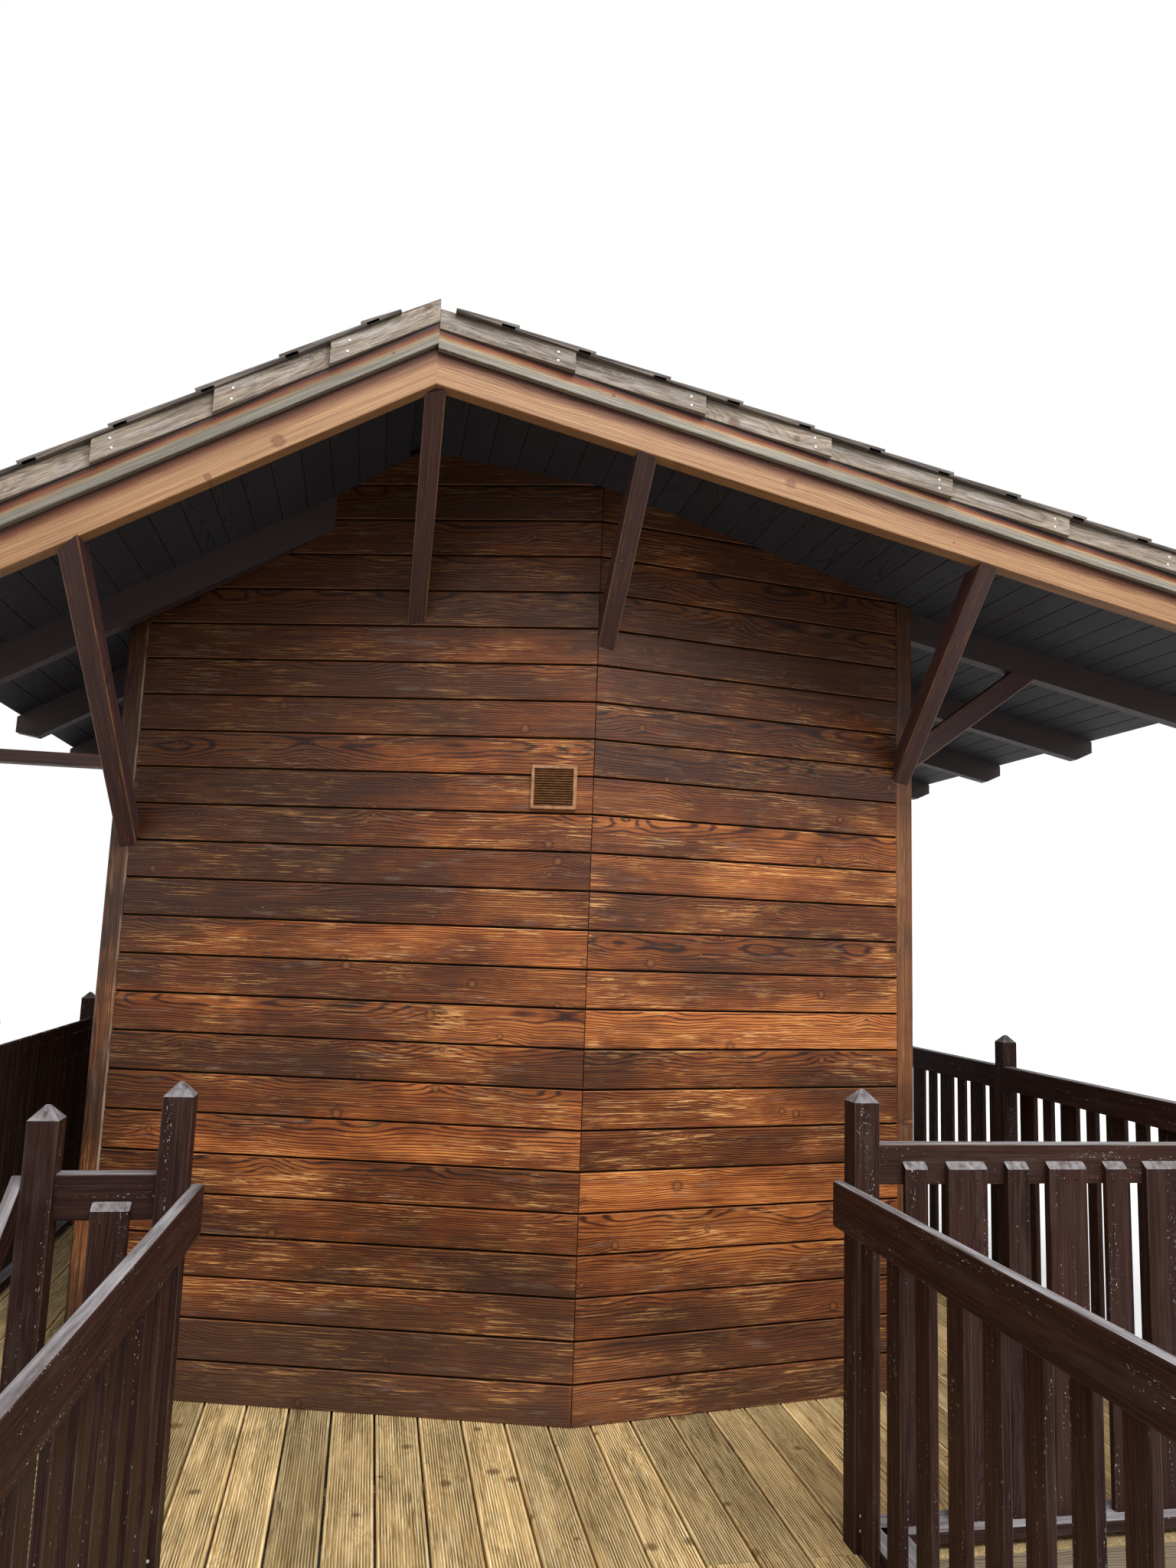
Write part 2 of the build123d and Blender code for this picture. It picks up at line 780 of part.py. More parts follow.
def baluster_faces(plane, middles, high, widths):
    """Faces of the upright boards of a bay, at places along it."""
    low = baluster_clearance
    with BuildSketch(plane) as row:
        for i, middle in enumerate(middles):
            with Locations((middle, (low + high) / 2)):
                Rectangle(widths[i % len(widths)], high - low)
    return row.sketch


def bevel_face(plane, place, high):
    """Triangle that takes the outer edge off the tops of upright boards."""
    with BuildSketch(across_plane(plane, place)) as bevel:
        with BuildLine():
            Polyline(
                (baluster_thickness, high - baluster_bevel),
                (baluster_thickness, high),
                (baluster_thickness - baluster_bevel, high),
                close=True,
            )
        make_face()
    return bevel.sketch


def spread(span, first, pitch, shift):
    """Places of evenly spread boards, about a first distance from both ends of a span."""
    count = round((span - 2 * first) / pitch) + 1
    step = (span - 2 * first) / max(1, count - 1)
    return [span / 2 + shift + step * (i - (count - 1) / 2) for i in range(count)]


def add_balusters(plane, span, middles, high, widths):
    """Adds the upright boards of a bay, with their inner faces on a plane."""
    extrude(baluster_faces(plane, middles, high, widths), amount=baluster_thickness)
    extrude(bevel_face(plane, span, high), amount=span, mode=Mode.SUBTRACT)


def add_bay(start, end, top, shy, widths, shift=0):
    """Adds one bay between two post centres: rail and sill on the inner side, boards outside."""
    span = hypot(end[0] - start[0], end[1] - start[1])
    first = post_width / 2
    last = span - post_width / 2
    rail_thickness = post_width - baluster_thickness
    inner = bay_plane(start, end, -post_width / 2)
    outer = bay_plane(start, end, post_width / 2 - baluster_thickness)
    sill = bay_plane(start, end, post_width / 2 - baluster_thickness - sill_width)
    extrude(board_face(inner, first, last, top - rail_height, top), amount=rail_thickness)
    extrude(board_face(sill, first, last, sill_top - sill_thickness, sill_top), amount=sill_width)
    add_balusters(outer, span, spread(span, baluster_first, baluster_pitch, shift), top - shy, widths)


def add_terrace_bay(start, end):
    """Adds one bay of the usual height, its boards narrow and wide in turn."""
    add_bay(start, end, rail_top, baluster_shy, (baluster_narrow, baluster_wide))


# Walkway railings: a deep board on the inner faces of the posts, upright boards close behind it
# and a sill outside them. The left one flares out a little towards its free end, and both end
# flush with the outer faces of their end posts
with BuildPart() as walkway_room:
    with BuildSketch():
        with Locations(((walkway_left + walkway_right) / 2, (walkway_end_y + front_rail_y) / 2)):
            Rectangle(2 * (walkway_right - walkway_left), front_rail_y - walkway_end_y + post_width)
    extrude(amount=ridge_underside)

walkway_railings = []
for side, free_x, gate_x in (
    ("left", walkway_left_x - walkway_flare, walkway_left_x),
    ("right", walkway_right_x, walkway_right_x),
):
    ends = [(free_x, walkway_end_y), (gate_x, front_rail_y)]
    if side == "left":
        ends.reverse()
    span = hypot(gate_x - free_x, front_rail_y - walkway_end_y)
    middles = spread(span, walkway_baluster_first, walkway_baluster_pitch, walkway_baluster_shift)
    with BuildPart() as railing:
        inner = bay_plane(*ends, -post_width / 2 - handrail_thickness)
        outer = bay_plane(*ends, -post_width / 2)
        sill = bay_plane(*ends, -post_width / 2 + baluster_thickness)
        add_balusters(outer, span, middles, handrail_top - baluster_shy, (walkway_baluster_width,))
        handrail = board_face(
            inner, -post_width, span + post_width, handrail_top - handrail_height, handrail_top
        )
        extrude(handrail, amount=handrail_thickness)
        sill_board = board_face(
            sill, post_width / 2, span - post_width / 2, sill_top - sill_thickness, sill_top
        )
        extrude(sill_board, amount=sill_width)
        add(walkway_room.part, mode=Mode.INTERSECT)
        add(railing_posts.part, mode=Mode.SUBTRACT)
    save(railing, f"{side}_walkway_railing")
    walkway_railings.append(railing)

# Terrace railings, one bay after the other between the posts; the stair has the left of the front
with BuildPart() as right_side_railing:
    for low_y, high_y in zip(side_post_y, side_post_y[1:]):
        add_terrace_bay((right_rail_x, low_y), (right_rail_x, high_y))
save(right_side_railing, "right_side_railing")

with BuildPart() as left_side_railing:
    for low_y, high_y in zip(side_post_y, side_post_y[1:]):
        add_terrace_bay((left_rail_x, high_y), (left_rail_x, low_y))
save(left_side_railing, "left_side_railing")

with BuildPart() as front_railings:
    add_terrace_bay((walkway_right_x, front_rail_y), (right_rail_x, front_rail_y))
    add_bay(
        (second_post_x, front_rail_y),
        (walkway_left_x, front_rail_y),
        gate_rail_top,
        gate_baluster_shy,
        (gate_baluster_width,),
        gate_baluster_shift,
    )
    for neighbour in (*walkway_railings, right_side_railing):
        add(neighbour.part, mode=Mode.SUBTRACT)
save(front_railings, "front_railings")

with BuildPart() as back_railing:
    for low_x, high_x in zip(back_post_x, back_post_x[1:]):
        add_terrace_bay((high_x, back_rail_y), (low_x, back_rail_y))
    add(right_side_railing.part, mode=Mode.SUBTRACT)
    add(left_side_railing.part, mode=Mode.SUBTRACT)
save(back_railing, "back_railing")

# Reed screen on the inner side of the left railing, standing on its sill
with BuildPart() as reed_screen:
    screen_span = back_rail_y - front_rail_y
    screen_plane = bay_plane(
        (left_rail_x, back_rail_y), (left_rail_x, front_rail_y), -post_width / 2 - screen_thickness
    )
    screen_face = board_face(screen_plane, post_width / 2, screen_span, sill_top, screen_top)
    extrude(screen_face, amount=screen_thickness)
save(reed_screen, "reed_screen")

# Stair between the left corner post and the second post: treads housed between two stringers
stair_rise = deck_height / stair_risers
stair_slope = stair_rise / stair_going
stair_left = left_rail_x + post_width / 2
stair_right = second_post_x - post_width / 2
stair_run = stair_going * stair_risers
stringer_crest = deck_height + (tread_depth - stair_going) * stair_slope + stringer_over_nosing
stringer_plumb = stringer_depth * hypot(1, stair_slope)
stringer_outline = [
    (terrace_front, deck_height),
    (terrace_front - (stringer_crest - deck_height) / stair_slope, deck_height),
    (terrace_front - stair_run, stringer_crest - stair_run * stair_slope),
    (terrace_front - stair_run, 0),
    (terrace_front - (stringer_crest - stringer_plumb) / stair_slope, 0),
    (terrace_front, stringer_crest - stringer_plumb),
]
with BuildPart() as stair:
    for stringer_x in (stair_left, stair_right - stringer_thickness):
        with BuildSketch(Plane.YZ.offset(stringer_x)):
            with BuildLine():
                Polyline(*stringer_outline, close=True)
            make_face()
        extrude(amount=stringer_thickness)
    with BuildSketch(Plane.YZ.offset(stair_left + stringer_thickness)):
        for i in range(1, stair_risers):
            tread_y = terrace_front - stair_going * (i - 1) - tread_depth / 2
            with Locations((tread_y, deck_height - stair_rise * i - tread_thickness / 2)):
                Rectangle(tread_depth, tread_thickness)
    extrude(amount=stair_right - stair_left - 2 * stringer_thickness)
save(stair, "stair")

# The stair's handrail runs down from the second post to a pointed newel that stands on the ground
newel_y = terrace_front - stair_run + newel_setback
rail_head = deck_height + stair_rail_start
rail_foot_y = newel_y - post_width / 2
rail_foot = rail_head - (front_rail_y - rail_foot_y) * stair_slope
with BuildPart() as stair_railing:
    add_posts([(second_post_x, newel_y)], 0, newel_height)
    with BuildSketch(Plane.YZ.offset(stair_right - handrail_thickness)):
        with BuildLine():
            Polyline(
                (front_rail_y, rail_head),
                (rail_foot_y, rail_foot),
                (rail_foot_y, rail_foot - stair_rail_height),
                (front_rail_y, rail_head - stair_rail_height),
                close=True,
            )
        make_face()
    extrude(amount=handrail_thickness)
save(stair_railing, "stair_railing")
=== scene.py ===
from functools import partial
from math import cos, pi, radians, sin, tan

import bpy
import numpy as np
from mathutils import Matrix, Vector


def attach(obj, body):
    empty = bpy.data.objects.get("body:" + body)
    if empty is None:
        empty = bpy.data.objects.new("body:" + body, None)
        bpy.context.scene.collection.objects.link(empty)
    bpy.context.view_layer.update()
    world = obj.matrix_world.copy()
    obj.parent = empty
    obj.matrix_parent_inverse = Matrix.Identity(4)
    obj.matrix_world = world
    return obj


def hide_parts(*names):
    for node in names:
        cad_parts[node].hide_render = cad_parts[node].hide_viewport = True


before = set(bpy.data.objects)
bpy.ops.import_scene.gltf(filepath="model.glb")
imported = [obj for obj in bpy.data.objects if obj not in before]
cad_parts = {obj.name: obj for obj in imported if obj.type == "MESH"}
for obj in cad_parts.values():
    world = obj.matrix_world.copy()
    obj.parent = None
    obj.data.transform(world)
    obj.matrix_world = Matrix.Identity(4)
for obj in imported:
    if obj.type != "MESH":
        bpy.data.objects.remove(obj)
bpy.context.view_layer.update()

# Studio: a camera at eye height above the walkway, its lens 1450 pixels long on the 2048 pixel
# frame, plain soft light, and a pale floor that runs into the white backdrop further out


def placed(name, data):
    """New object in the scene."""
    thing = bpy.data.objects.new(name, data)
    bpy.context.scene.collection.objects.link(thing)
    return thing


camera_data = bpy.data.cameras.new("camera")
camera_data.sensor_width = 36
camera_data.lens = 1450 / 2048 * 36
camera_data.clip_end = 200
camera = placed("camera", camera_data)
camera.matrix_world = (
    Matrix.Translation(Vector((-1.0335, -5.22, 2.26)))
    @ Matrix.Rotation(radians(-10.62), 4, "Z")
    @ Matrix.Rotation(radians(98.0), 4, "X")
    @ Matrix.Rotation(radians(2.05), 4, "Z")
)
bpy.context.scene.camera = camera
bpy.context.scene.view_settings.view_transform = "Standard"


def linear(colour):
    """Linear RGBA of an sRGB hex colour: each channel c is c / 12.92 up to 0.04045, and above
    that ((c + 0.055) / 1.055) to the power 2.4."""
    c = np.array([int(colour[i : i + 2], 16) for i in (1, 3, 5)]) / 255
    return (*np.where(c <= 0.04045, c / 12.92, ((c + 0.055) / 1.055) ** 2.4), 1)


def node(tree, kind, inputs=(), output=0, stops=(), **settings):
    """Adds a node with its settings and links. inputs are values or other nodes' outputs, in the
    sockets' order or under their names, and stops are a colour ramp's (place, hex colour)."""
    added = tree.nodes.new(f"ShaderNode{kind}")
    for setting, value in settings.items():
        setattr(added, setting, value)
    for socket, value in inputs.items() if isinstance(inputs, dict) else enumerate(inputs):
        if isinstance(value, bpy.types.NodeSocket):
            tree.links.new(value, added.inputs[socket])
        else:
            added.inputs[socket].default_value = value
    for i, (place, colour) in enumerate(stops):
        elements = added.color_ramp.elements
        element = elements[i] if i < 2 else elements.new(place)
        element.position = place
        element.color = linear(colour)
    return added.outputs[output] if added.outputs else None


def bare_tree(holder):
    """Node tree of a material or a world, emptied."""
    holder.use_nodes = True
    holder.node_tree.nodes.clear()
    return holder.node_tree


def seen_rays(tree):
    """One for the rays that show the set, straight or in a mirror or glass, else nought."""
    rays = node(tree, "LightPath").node.outputs
    seen = node(tree, "Math", [rays["Is Camera Ray"], rays["Is Glossy Ray"]])
    return node(tree, "Math", [seen, rays["Is Transmission Ray"]], use_clamp=True)


white = (1, 1, 1, 1)
world = bpy.data.worlds.new("sky")
bpy.context.scene.world = world
tree = bare_tree(world)
soft_light = node(tree, "Background", [white, 0.65])
backdrop = node(tree, "Background", [white, 1])
node(tree, "OutputWorld", [node(tree, "MixShader", [seen_rays(tree), soft_light, backdrop])])

lamp_data = bpy.data.lights.new("window", "AREA")
lamp_data.energy = 1050
lamp_data.shape = "RECTANGLE"
lamp_data.size = 7
lamp_data.size_y = 6
lamp = placed("window", lamp_data)
lamp_place, lamp_aim = Vector((1.2, -7.0, 9.0)), Vector((-0.5, 0, 1.8))
lamp.matrix_world = Matrix.Translation(lamp_place) @ (
    (lamp_place - lamp_aim).to_track_quat("Z", "Y").to_matrix().to_4x4()
)

floor_reach = 30
floor_mesh = bpy.data.meshes.new("floor")
floor_mesh.from_pydata(
    [(x * floor_reach, y * floor_reach, 0) for x, y in ((-1, -1), (1, -1), (1, 1), (-1, 1))],
    [], [(0, 1, 2, 3)],
)
floor = placed("floor", floor_mesh)
# Matt paint: grey to the light that it throws back, white to the eye, and glowing the more the
# further it lies from the cabin
floor_paint = bpy.data.materials.new("pale_floor_paint")
tree = bare_tree(floor_paint)
seen = seen_rays(tree)
glow_from, glow_to, glow = 4.5, 9, 0.5
floor_distance = node(tree, "VectorMath", [node(tree, "TexCoord", output="Object")], "Value", operation="LENGTH")
floor_fade = node(tree, "MapRange", [floor_distance, glow_from, glow_to, 0, glow])
node(tree, "OutputMaterial", [node(tree, "BsdfPrincipled", {
    "Base Color": node(tree, "MixRGB", [seen, linear("#8d8b84"), linear("#ffffff")], use_clamp=True),
    "Emission Color": white,
    "Emission Strength": node(tree, "Math", [seen, floor_fade], operation="MULTIPLY"),
    "Roughness": 0.9,
})])
floor_mesh.materials.append(floor_paint)

# Walls: the end walls are bent at a seam in plan. Each wall has spruce boards 137 mm high on a
# pitch of 145 mm, nailed on a dark core, sawn along the roof boards and stained red-brown
rng = np.random.default_rng(11)
up = np.array((0, 0, 1))


def unit(arm):
    """The same direction, one metre long."""
    return arm / np.linalg.norm(arm)


def skin(rings, along, across, edge=0.0, part=0):
    """Closed boards: rings[n, s, p] is point p of ring s of board n. Neighbouring rings are joined
    by quads and the end rings closed, turned to face outwards. The grain attribute is a point's
    place (along, across, through) its board, shifted at random along it and off its heart, and
    rise is its share of the way across."""
    rings = np.asarray(rings, float)
    count, stations, points = rings.shape[:3]
    along, across = (np.broadcast_to(axis, (count, 3)) for axis in (along, across))
    index = np.arange(count * stations * points).reshape(count, stations, points)
    ahead = np.roll(index, -1, axis=2)
    sides = np.stack([index[:, :-1], ahead[:, :-1], ahead[:, 1:], index[:, 1:]], -1)
    caps = np.stack([index[:, 0, ::-1], index[:, -1]], 1)
    arms = rings[:, 0] - rings[:, 0].mean(1, keepdims=True)
    turn = np.cross(arms, np.roll(arms, -1, axis=1)).sum(1)
    inside_out = (turn * (rings[:, -1].mean(1) - rings[:, 0].mean(1))).sum(1) < 0
    for faces in (sides, caps):
        faces[inside_out] = faces[inside_out][..., ::-1]
    axes = np.stack([along, across, np.cross(along, across)], 1)
    shift = rng.uniform((0, -0.14, 0.02), (90, -0.01, 0.07), (count, 3))
    grain = np.einsum("nspk,nak->nspa", rings - rings[:, :1, :1], axes) + shift[:, None, None]
    low, high = (pick(grain[..., 1], axis=(1, 2), keepdims=True) for pick in (np.min, np.max))
    return {
        "points": rings.reshape(-1, 3),
        "faces": sides.reshape(-1, 4).tolist() + caps.reshape(-1, points).tolist(),
        "part": part,
        "grain": grain.reshape(-1, 3),
        "board": np.broadcast_to(rng.random(count)[:, None, None], index.shape).ravel(),
        "edge": np.broadcast_to(edge, index.shape).ravel(),
        "rise": ((grain[..., 1] - low) / (high - low)).ravel(),
    }


def rounded(half, radius):
    """Outlines of oblongs about their middles, with a quarter circle of three points at a corner."""
    angle = (np.arange(4)[:, None] * pi / 2 + np.linspace(0, pi / 2, 3)).ravel()
    sign = np.repeat([[1, 1], [-1, 1], [-1, -1], [1, -1]], 3, axis=0)
    return sign * (half - radius) + radius * np.stack([np.cos(angle), np.sin(angle)], -1)


def planks(origin, along, across, through, width, thickness, first, last, radius=0.003, part=0):
    """Straight boards: a rounded oblong carried along each board, from the first to the last
    distance. Each of those is numbers, or a list of planes (point, normal) that cut the board."""
    origin, along, across, through = np.broadcast_arrays(*np.atleast_2d(origin, along, across, through))
    half = np.stack([np.ones(len(origin)) * size for size in (width, thickness)], -1)[:, None] / 2
    outline = half + rounded(half, radius)
    base = origin[:, None] + outline[..., :1] * across[:, None] + outline[..., 1:] * through[:, None]
    ends = []
    for limit, pick in ((first, np.max), (last, np.min)):
        if isinstance(limit, list):
            ends.append(pick(
                [(point - base) @ normal / (along[:, None] @ normal) for point, normal in limit], 0
            ))
        else:
            ends.append(np.ones(base.shape[:2]) * np.reshape(limit, (-1, 1)))
    ends[1] = np.maximum(*ends)
    rings = np.stack([base + end[..., None] * along[:, None] for end in ends], 1)
    return skin(rings, along, across, np.tile((0, 1, 0), 4), part)


def boxes(lows, highs, radius=0.003):
    """Straight boards from their lowest and highest corners, the grain along the longest side."""
    lows = np.atleast_2d(lows).astype(float)
    size = np.atleast_2d(highs) - lows
    order = np.argsort(-size, axis=1, kind="stable")
    size = np.take_along_axis(size, order, 1)
    return planks(lows, *np.eye(3)[order].transpose(1, 0, 2), size[:, 1], size[:, 2], 0, size[:, 0], radius)


def make(name, parts, nodes, slot, *materials, bevel=0):
    """Joins parts into one mesh piece with its attributes, which stands for the named CAD nodes."""
    mesh = bpy.data.meshes.new(name)
    starts = np.cumsum([0] + [len(part["points"]) for part in parts])
    faces = [[i + int(start) for i in face] for part, start in zip(parts, starts) for face in part["faces"]]
    mesh.from_pydata(np.concatenate([part["points"] for part in parts]).tolist(), [], faces)
    for key in ("grain", "board", "edge", "rise"):
        values = np.concatenate([part[key] for part in parts]).astype(np.float32)
        kind, field = ("FLOAT_VECTOR", "vector") if values.ndim > 1 else ("FLOAT", "value")
        mesh.attributes.new(key, kind, "POINT").data.foreach_set(field, values.ravel())
    slots = np.repeat([part["part"] for part in parts], [len(part["faces"]) for part in parts])
    mesh.polygons.foreach_set("material_index", slots.astype(np.int32))
    mesh.polygons.foreach_set("use_smooth", np.ones(len(faces), bool))
    mesh.set_sharp_from_angle(angle=radians(18))
    for material in materials:
        mesh.materials.append(material)
    mesh.update()
    piece = placed(name, mesh)
    if bevel:
        rounding = piece.modifiers.new("rounding", "BEVEL")
        rounding.width = bevel
        rounding.segments = 2
        rounding.limit_method = "ANGLE"
    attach(piece, "root")
    if nodes:
        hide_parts(*nodes.split())


def timber(name, colours, places=(0.24, 0.42, 0.58, 0.78), roughness=0.6, relief=0.0006, ring=0.005, rings=0.45,
           spread=0.22, knots=None, streaks=None, haze=None, specks=None, edges=None, tops=None, weather_and_shade=None,
           shades=None, tilt=None, gloss=0.5):
    """Sawn wood. Year rings are circles about the board's wandering heart, bent round its knots,
    and fibres are noise drawn out along it; colours from dark to light lie at places on their sum.
    rings is the rings' share, ring their width and spread how far boards differ. knots are (rim,
    heart) colours, and streaks, haze, specks, edges and tops are (colour, low, high): where and
    how much each shows. edges lightens rounded edges, as rubbed wear and, on the wall boards, as a
    painted highlight; tops lightens faces that look up, as bleaching and as a painted reflection of
    the sky. weather_and_shade tints by how open the place is to weather and to light, with painted
    shade under the roof, and shades tints by the height across the board, for stain along an edge
    and for painted shadow under an overhang. tilt turns a CAD node's own coordinates to its grain,
    and gloss is the shine."""
    material = bpy.data.materials.new(name)
    tree = bare_tree(material)
    add = partial(node, tree)
    place = add("TexCoord", output="Object")
    if tilt is None:
        grain = add("Attribute", output="Vector", attribute_name="grain")
        tone = add("Attribute", output="Fac", attribute_name="board")
    else:
        grain = add("Mapping", {"Vector": place, "Rotation": tilt})
        tone = add("TexNoise", {"Vector": place, "Scale": 0.7})

    def drawn_out(length, width, detail, offset=0.0):
        """Noise whose grains have a length and a width in metres."""
        scale = (1 / length, 1 / width, 1 / width)
        stretched = add("VectorMath", [grain, scale, (offset, offset, offset)], operation="MULTIPLY_ADD")
        return add("TexNoise", {"Vector": stretched, "Scale": 1, "Detail": detail, "Roughness": 0.62})

    # Knots lie at random about 0.22 m by 0.5 m apart, up to 17 mm in radius, and the rings bend
    # round them in long ovals, the more the nearer they are
    squash = 0.45
    flat = add("VectorMath", [grain, (squash, 1, 1)], operation="MULTIPLY")
    cells = add("TexVoronoi", {"Vector": flat, "Scale": 4.6}, "Distance", voronoi_dimensions="2D")
    cell_tone = add("SeparateColor", [cells.node.outputs["Color"]])
    apart = add("VectorMath", [flat, cells.node.outputs["Position"]], operation="SUBTRACT")
    apart = add("VectorMath", [apart, (1 / squash, 1, 0)], operation="MULTIPLY")
    apart = add("VectorMath", [apart], "Value", operation="LENGTH")
    knot_radius = add("MapRange", [cell_tone, 0, 1, 0.003, 0.017])
    knot_ratio = add("Math", [apart, knot_radius], operation="DIVIDE")
    near = add("MapRange", [cells, 0, 0.4, 16, 0])
    phase = add("MapRange", [cells, 0, 0.4, near, 0]) if knots else 0

    wander = drawn_out(0.7, 0.5, 2)
    heart = add("VectorMath", [wander.node.outputs["Color"], (0, 0.09, 0.07), grain], operation="MULTIPLY_ADD")
    squeezed = add("VectorMath", [heart, (0.02, 1, 1)], operation="MULTIPLY")
    year_rings = add(
        "TexWave",
        {"Vector": squeezed, "Scale": 0.314 / ring, "Distortion": 2.2, "Detail": 2, "Detail Scale": 1.4,
         "Phase Offset": phase},
        "Fac", wave_type="RINGS", rings_direction="X",
    )
    fibres = drawn_out(0.16, 0.0022, 3)
    strands = add("MapRange", [drawn_out(0.5, 0.0058, 3, 31), 0.25, 0.75])
    woven = add("Math", [add("Math", [strands, fibres]), (1 - rings) / 2], operation="MULTIPLY")
    early = add("MapRange", [year_rings, 0.62, 1, 1, 0])
    body = add("Math", [early, rings, woven], operation="MULTIPLY_ADD")
    colour = add("ValToRGB", [body], stops=list(zip(places, colours.split())))
    broad = drawn_out(0.28, 0.06, 4, 7)
    for value, low, high in ((tone, 0, 1), (broad, 0.2, 0.8)):
        shade = add("MapRange", [value, low, high, 1 - spread, 1 + spread])
        colour = add("MixRGB", [1, colour, shade], blend_type="MULTIPLY")
    # Tint by the height across the board: stain along an edge, and painted shadow under an overhang
    if shades:
        rise = add("Attribute", output="Fac", attribute_name="rise")
        rise = add("Math", [rise, add("MapRange", [broad, 0.2, 0.8, -0.12, 0.12])])
        colour = add("MixRGB", [1, colour, add("ValToRGB", [rise], stops=shades)], blend_type="MULTIPLY")
    # Tint by how open a place is to weather and to light, with painted shade under the roof and to the left
    open_and_lit = 1
    if weather_and_shade:
        sideways = add("SeparateXYZ", [place])
        height = sideways.node.outputs["Z"]
        patches = add("VectorMath", [place, (1.1, 1.1, 2.8)], operation="MULTIPLY")
        patches = add("TexNoise", {"Vector": patches, "Scale": 1, "Detail": 5, "Roughness": 0.65})
        open_and_lit = add("MapRange", [patches, 0.3, 0.7, -0.1, 1.1])
        open_and_lit = add("Math", [open_and_lit, add("MapRange", [tone, 0, 1, -0.15, 0.25])])
        # Darker where less open: to the left above head height and at the left of the seam's foot, partly
        # weathering and partly painted shade, and under the roof as painted shade
        for across, upwards in (
            ((-2.1, -0.6, -0.6, 0.1), (1.0, 2.1, 0.15, 1)),
            ((-3, 3, 1, 1), (2.75, 3.5, 0, -0.75)),
            ((-0.26, -0.23, -0.5, -0.1), (0.9, 1.05, 1, 0)),
        ):
            shade = [add("MapRange", [sideways, *across]), add("MapRange", [height, *upwards])]
            open_and_lit = add("Math", [open_and_lit, add("Math", shade, operation="MULTIPLY")])
        colour = add("MixRGB", [1, colour, add("ValToRGB", [open_and_lit], stops=weather_and_shade)], blend_type="MULTIPLY")
        # Darker and greyer in patches near the deck
        near_deck_darkening = add("MapRange", [height, 0.62, 1.15, add("MapRange", [patches, 0.3, 0.6, 0.3, 0.5]), 0])
        colour = add("MixRGB", [near_deck_darkening, colour, linear("#54433a")])
        open_and_lit = add("MapRange", [open_and_lit, 0.1, 0.8, 0.3, 1])
    if haze:
        film = add("MapRange", [fibres, 0.35, 0.65, 0.25, 0.9])
        film = add("MapRange", [drawn_out(0.22, 0.035, 4, 3), *haze[1:], 0, film])
        colour = add("MixRGB", [film, colour, linear(haze[0])])
    # Streaks along the fibres: wear on most woods, painted glints on the reeds
    if streaks:
        wear_and_glint = add("Math", [add("MapRange", [fibres, 0.3, 0.6, 0.4, 1]), open_and_lit], operation="MULTIPLY")
        wear_and_glint = add("MapRange", [drawn_out(0.42, 0.11, 3, 41), 0.46, 0.62, 0, wear_and_glint])
        wear_and_glint = add("MapRange", [drawn_out(0.13, 0.005, 4, 11), *streaks[1:], 0, wear_and_glint])
        colour = add("MixRGB", [wear_and_glint, colour, linear(streaks[0])])
    if knots:
        ragged = add("Math", [strands, 0.5, knot_ratio], operation="MULTIPLY_ADD")
        colour = add("MixRGB", [add("MapRange", [ragged, 2, 1.3, 0, 0.6]), colour, linear(knots[0])])
        shown = add("Math", [add("MapRange", [ragged, 1.15, 0.8, 0, 0.6]), open_and_lit], operation="MULTIPLY")
        colour = add("MixRGB", [shown, colour, linear(knots[1])])
    if specks:
        clusters = add("MapRange", [drawn_out(0.4, 0.022, 2, 5), 0.56, 0.66, 0, specks[2]])
        flakes = add("MapRange", [drawn_out(0.009, 0.0035, 2, 13), specks[1], specks[1] + 0.02, 0, clusters])
        colour = add("MixRGB", [flakes, colour, linear(specks[0])])
    # Lighter rounded edges: rubbed wear, and on the wall boards also a painted highlight
    if edges:
        rubbed_and_highlit = add("MapRange", [drawn_out(0.25, 0.05, 4, 17), 0.38, 0.62, *edges[1:]])
        edge = add("Attribute", output="Fac", attribute_name="edge")
        colour = add("MixRGB", [add("Math", [edge, rubbed_and_highlit], operation="MULTIPLY"), colour, linear(edges[0])])
    # Faces that look up turn pale: bleaching, and a painted reflection of the sky
    if tops:
        level = add("SeparateXYZ", [add("NewGeometry", output="Normal")], "Z")
        bleach_and_sheen = add("MapRange", [drawn_out(0.3, 0.02, 4, 23), 0.3, 0.7, *tops[1:]])
        colour = add("MixRGB", [add("MapRange", [level, 0.45, 0.85, 0, bleach_and_sheen]), colour, linear(tops[0])])
    height = add("Math", [year_rings, 0.35, fibres], operation="MULTIPLY_ADD")
    add("OutputMaterial", [add("BsdfPrincipled", {
        "Base Color": colour,
        "Normal": add("Bump", {"Height": height, "Strength": 1, "Distance": relief}),
        "Roughness": add("MapRange", [fibres, 0.3, 0.7, roughness + 0.08, roughness - 0.08]),
        "IOR": 1.45,
        "Specular IOR Level": gloss,
    })])
    return material


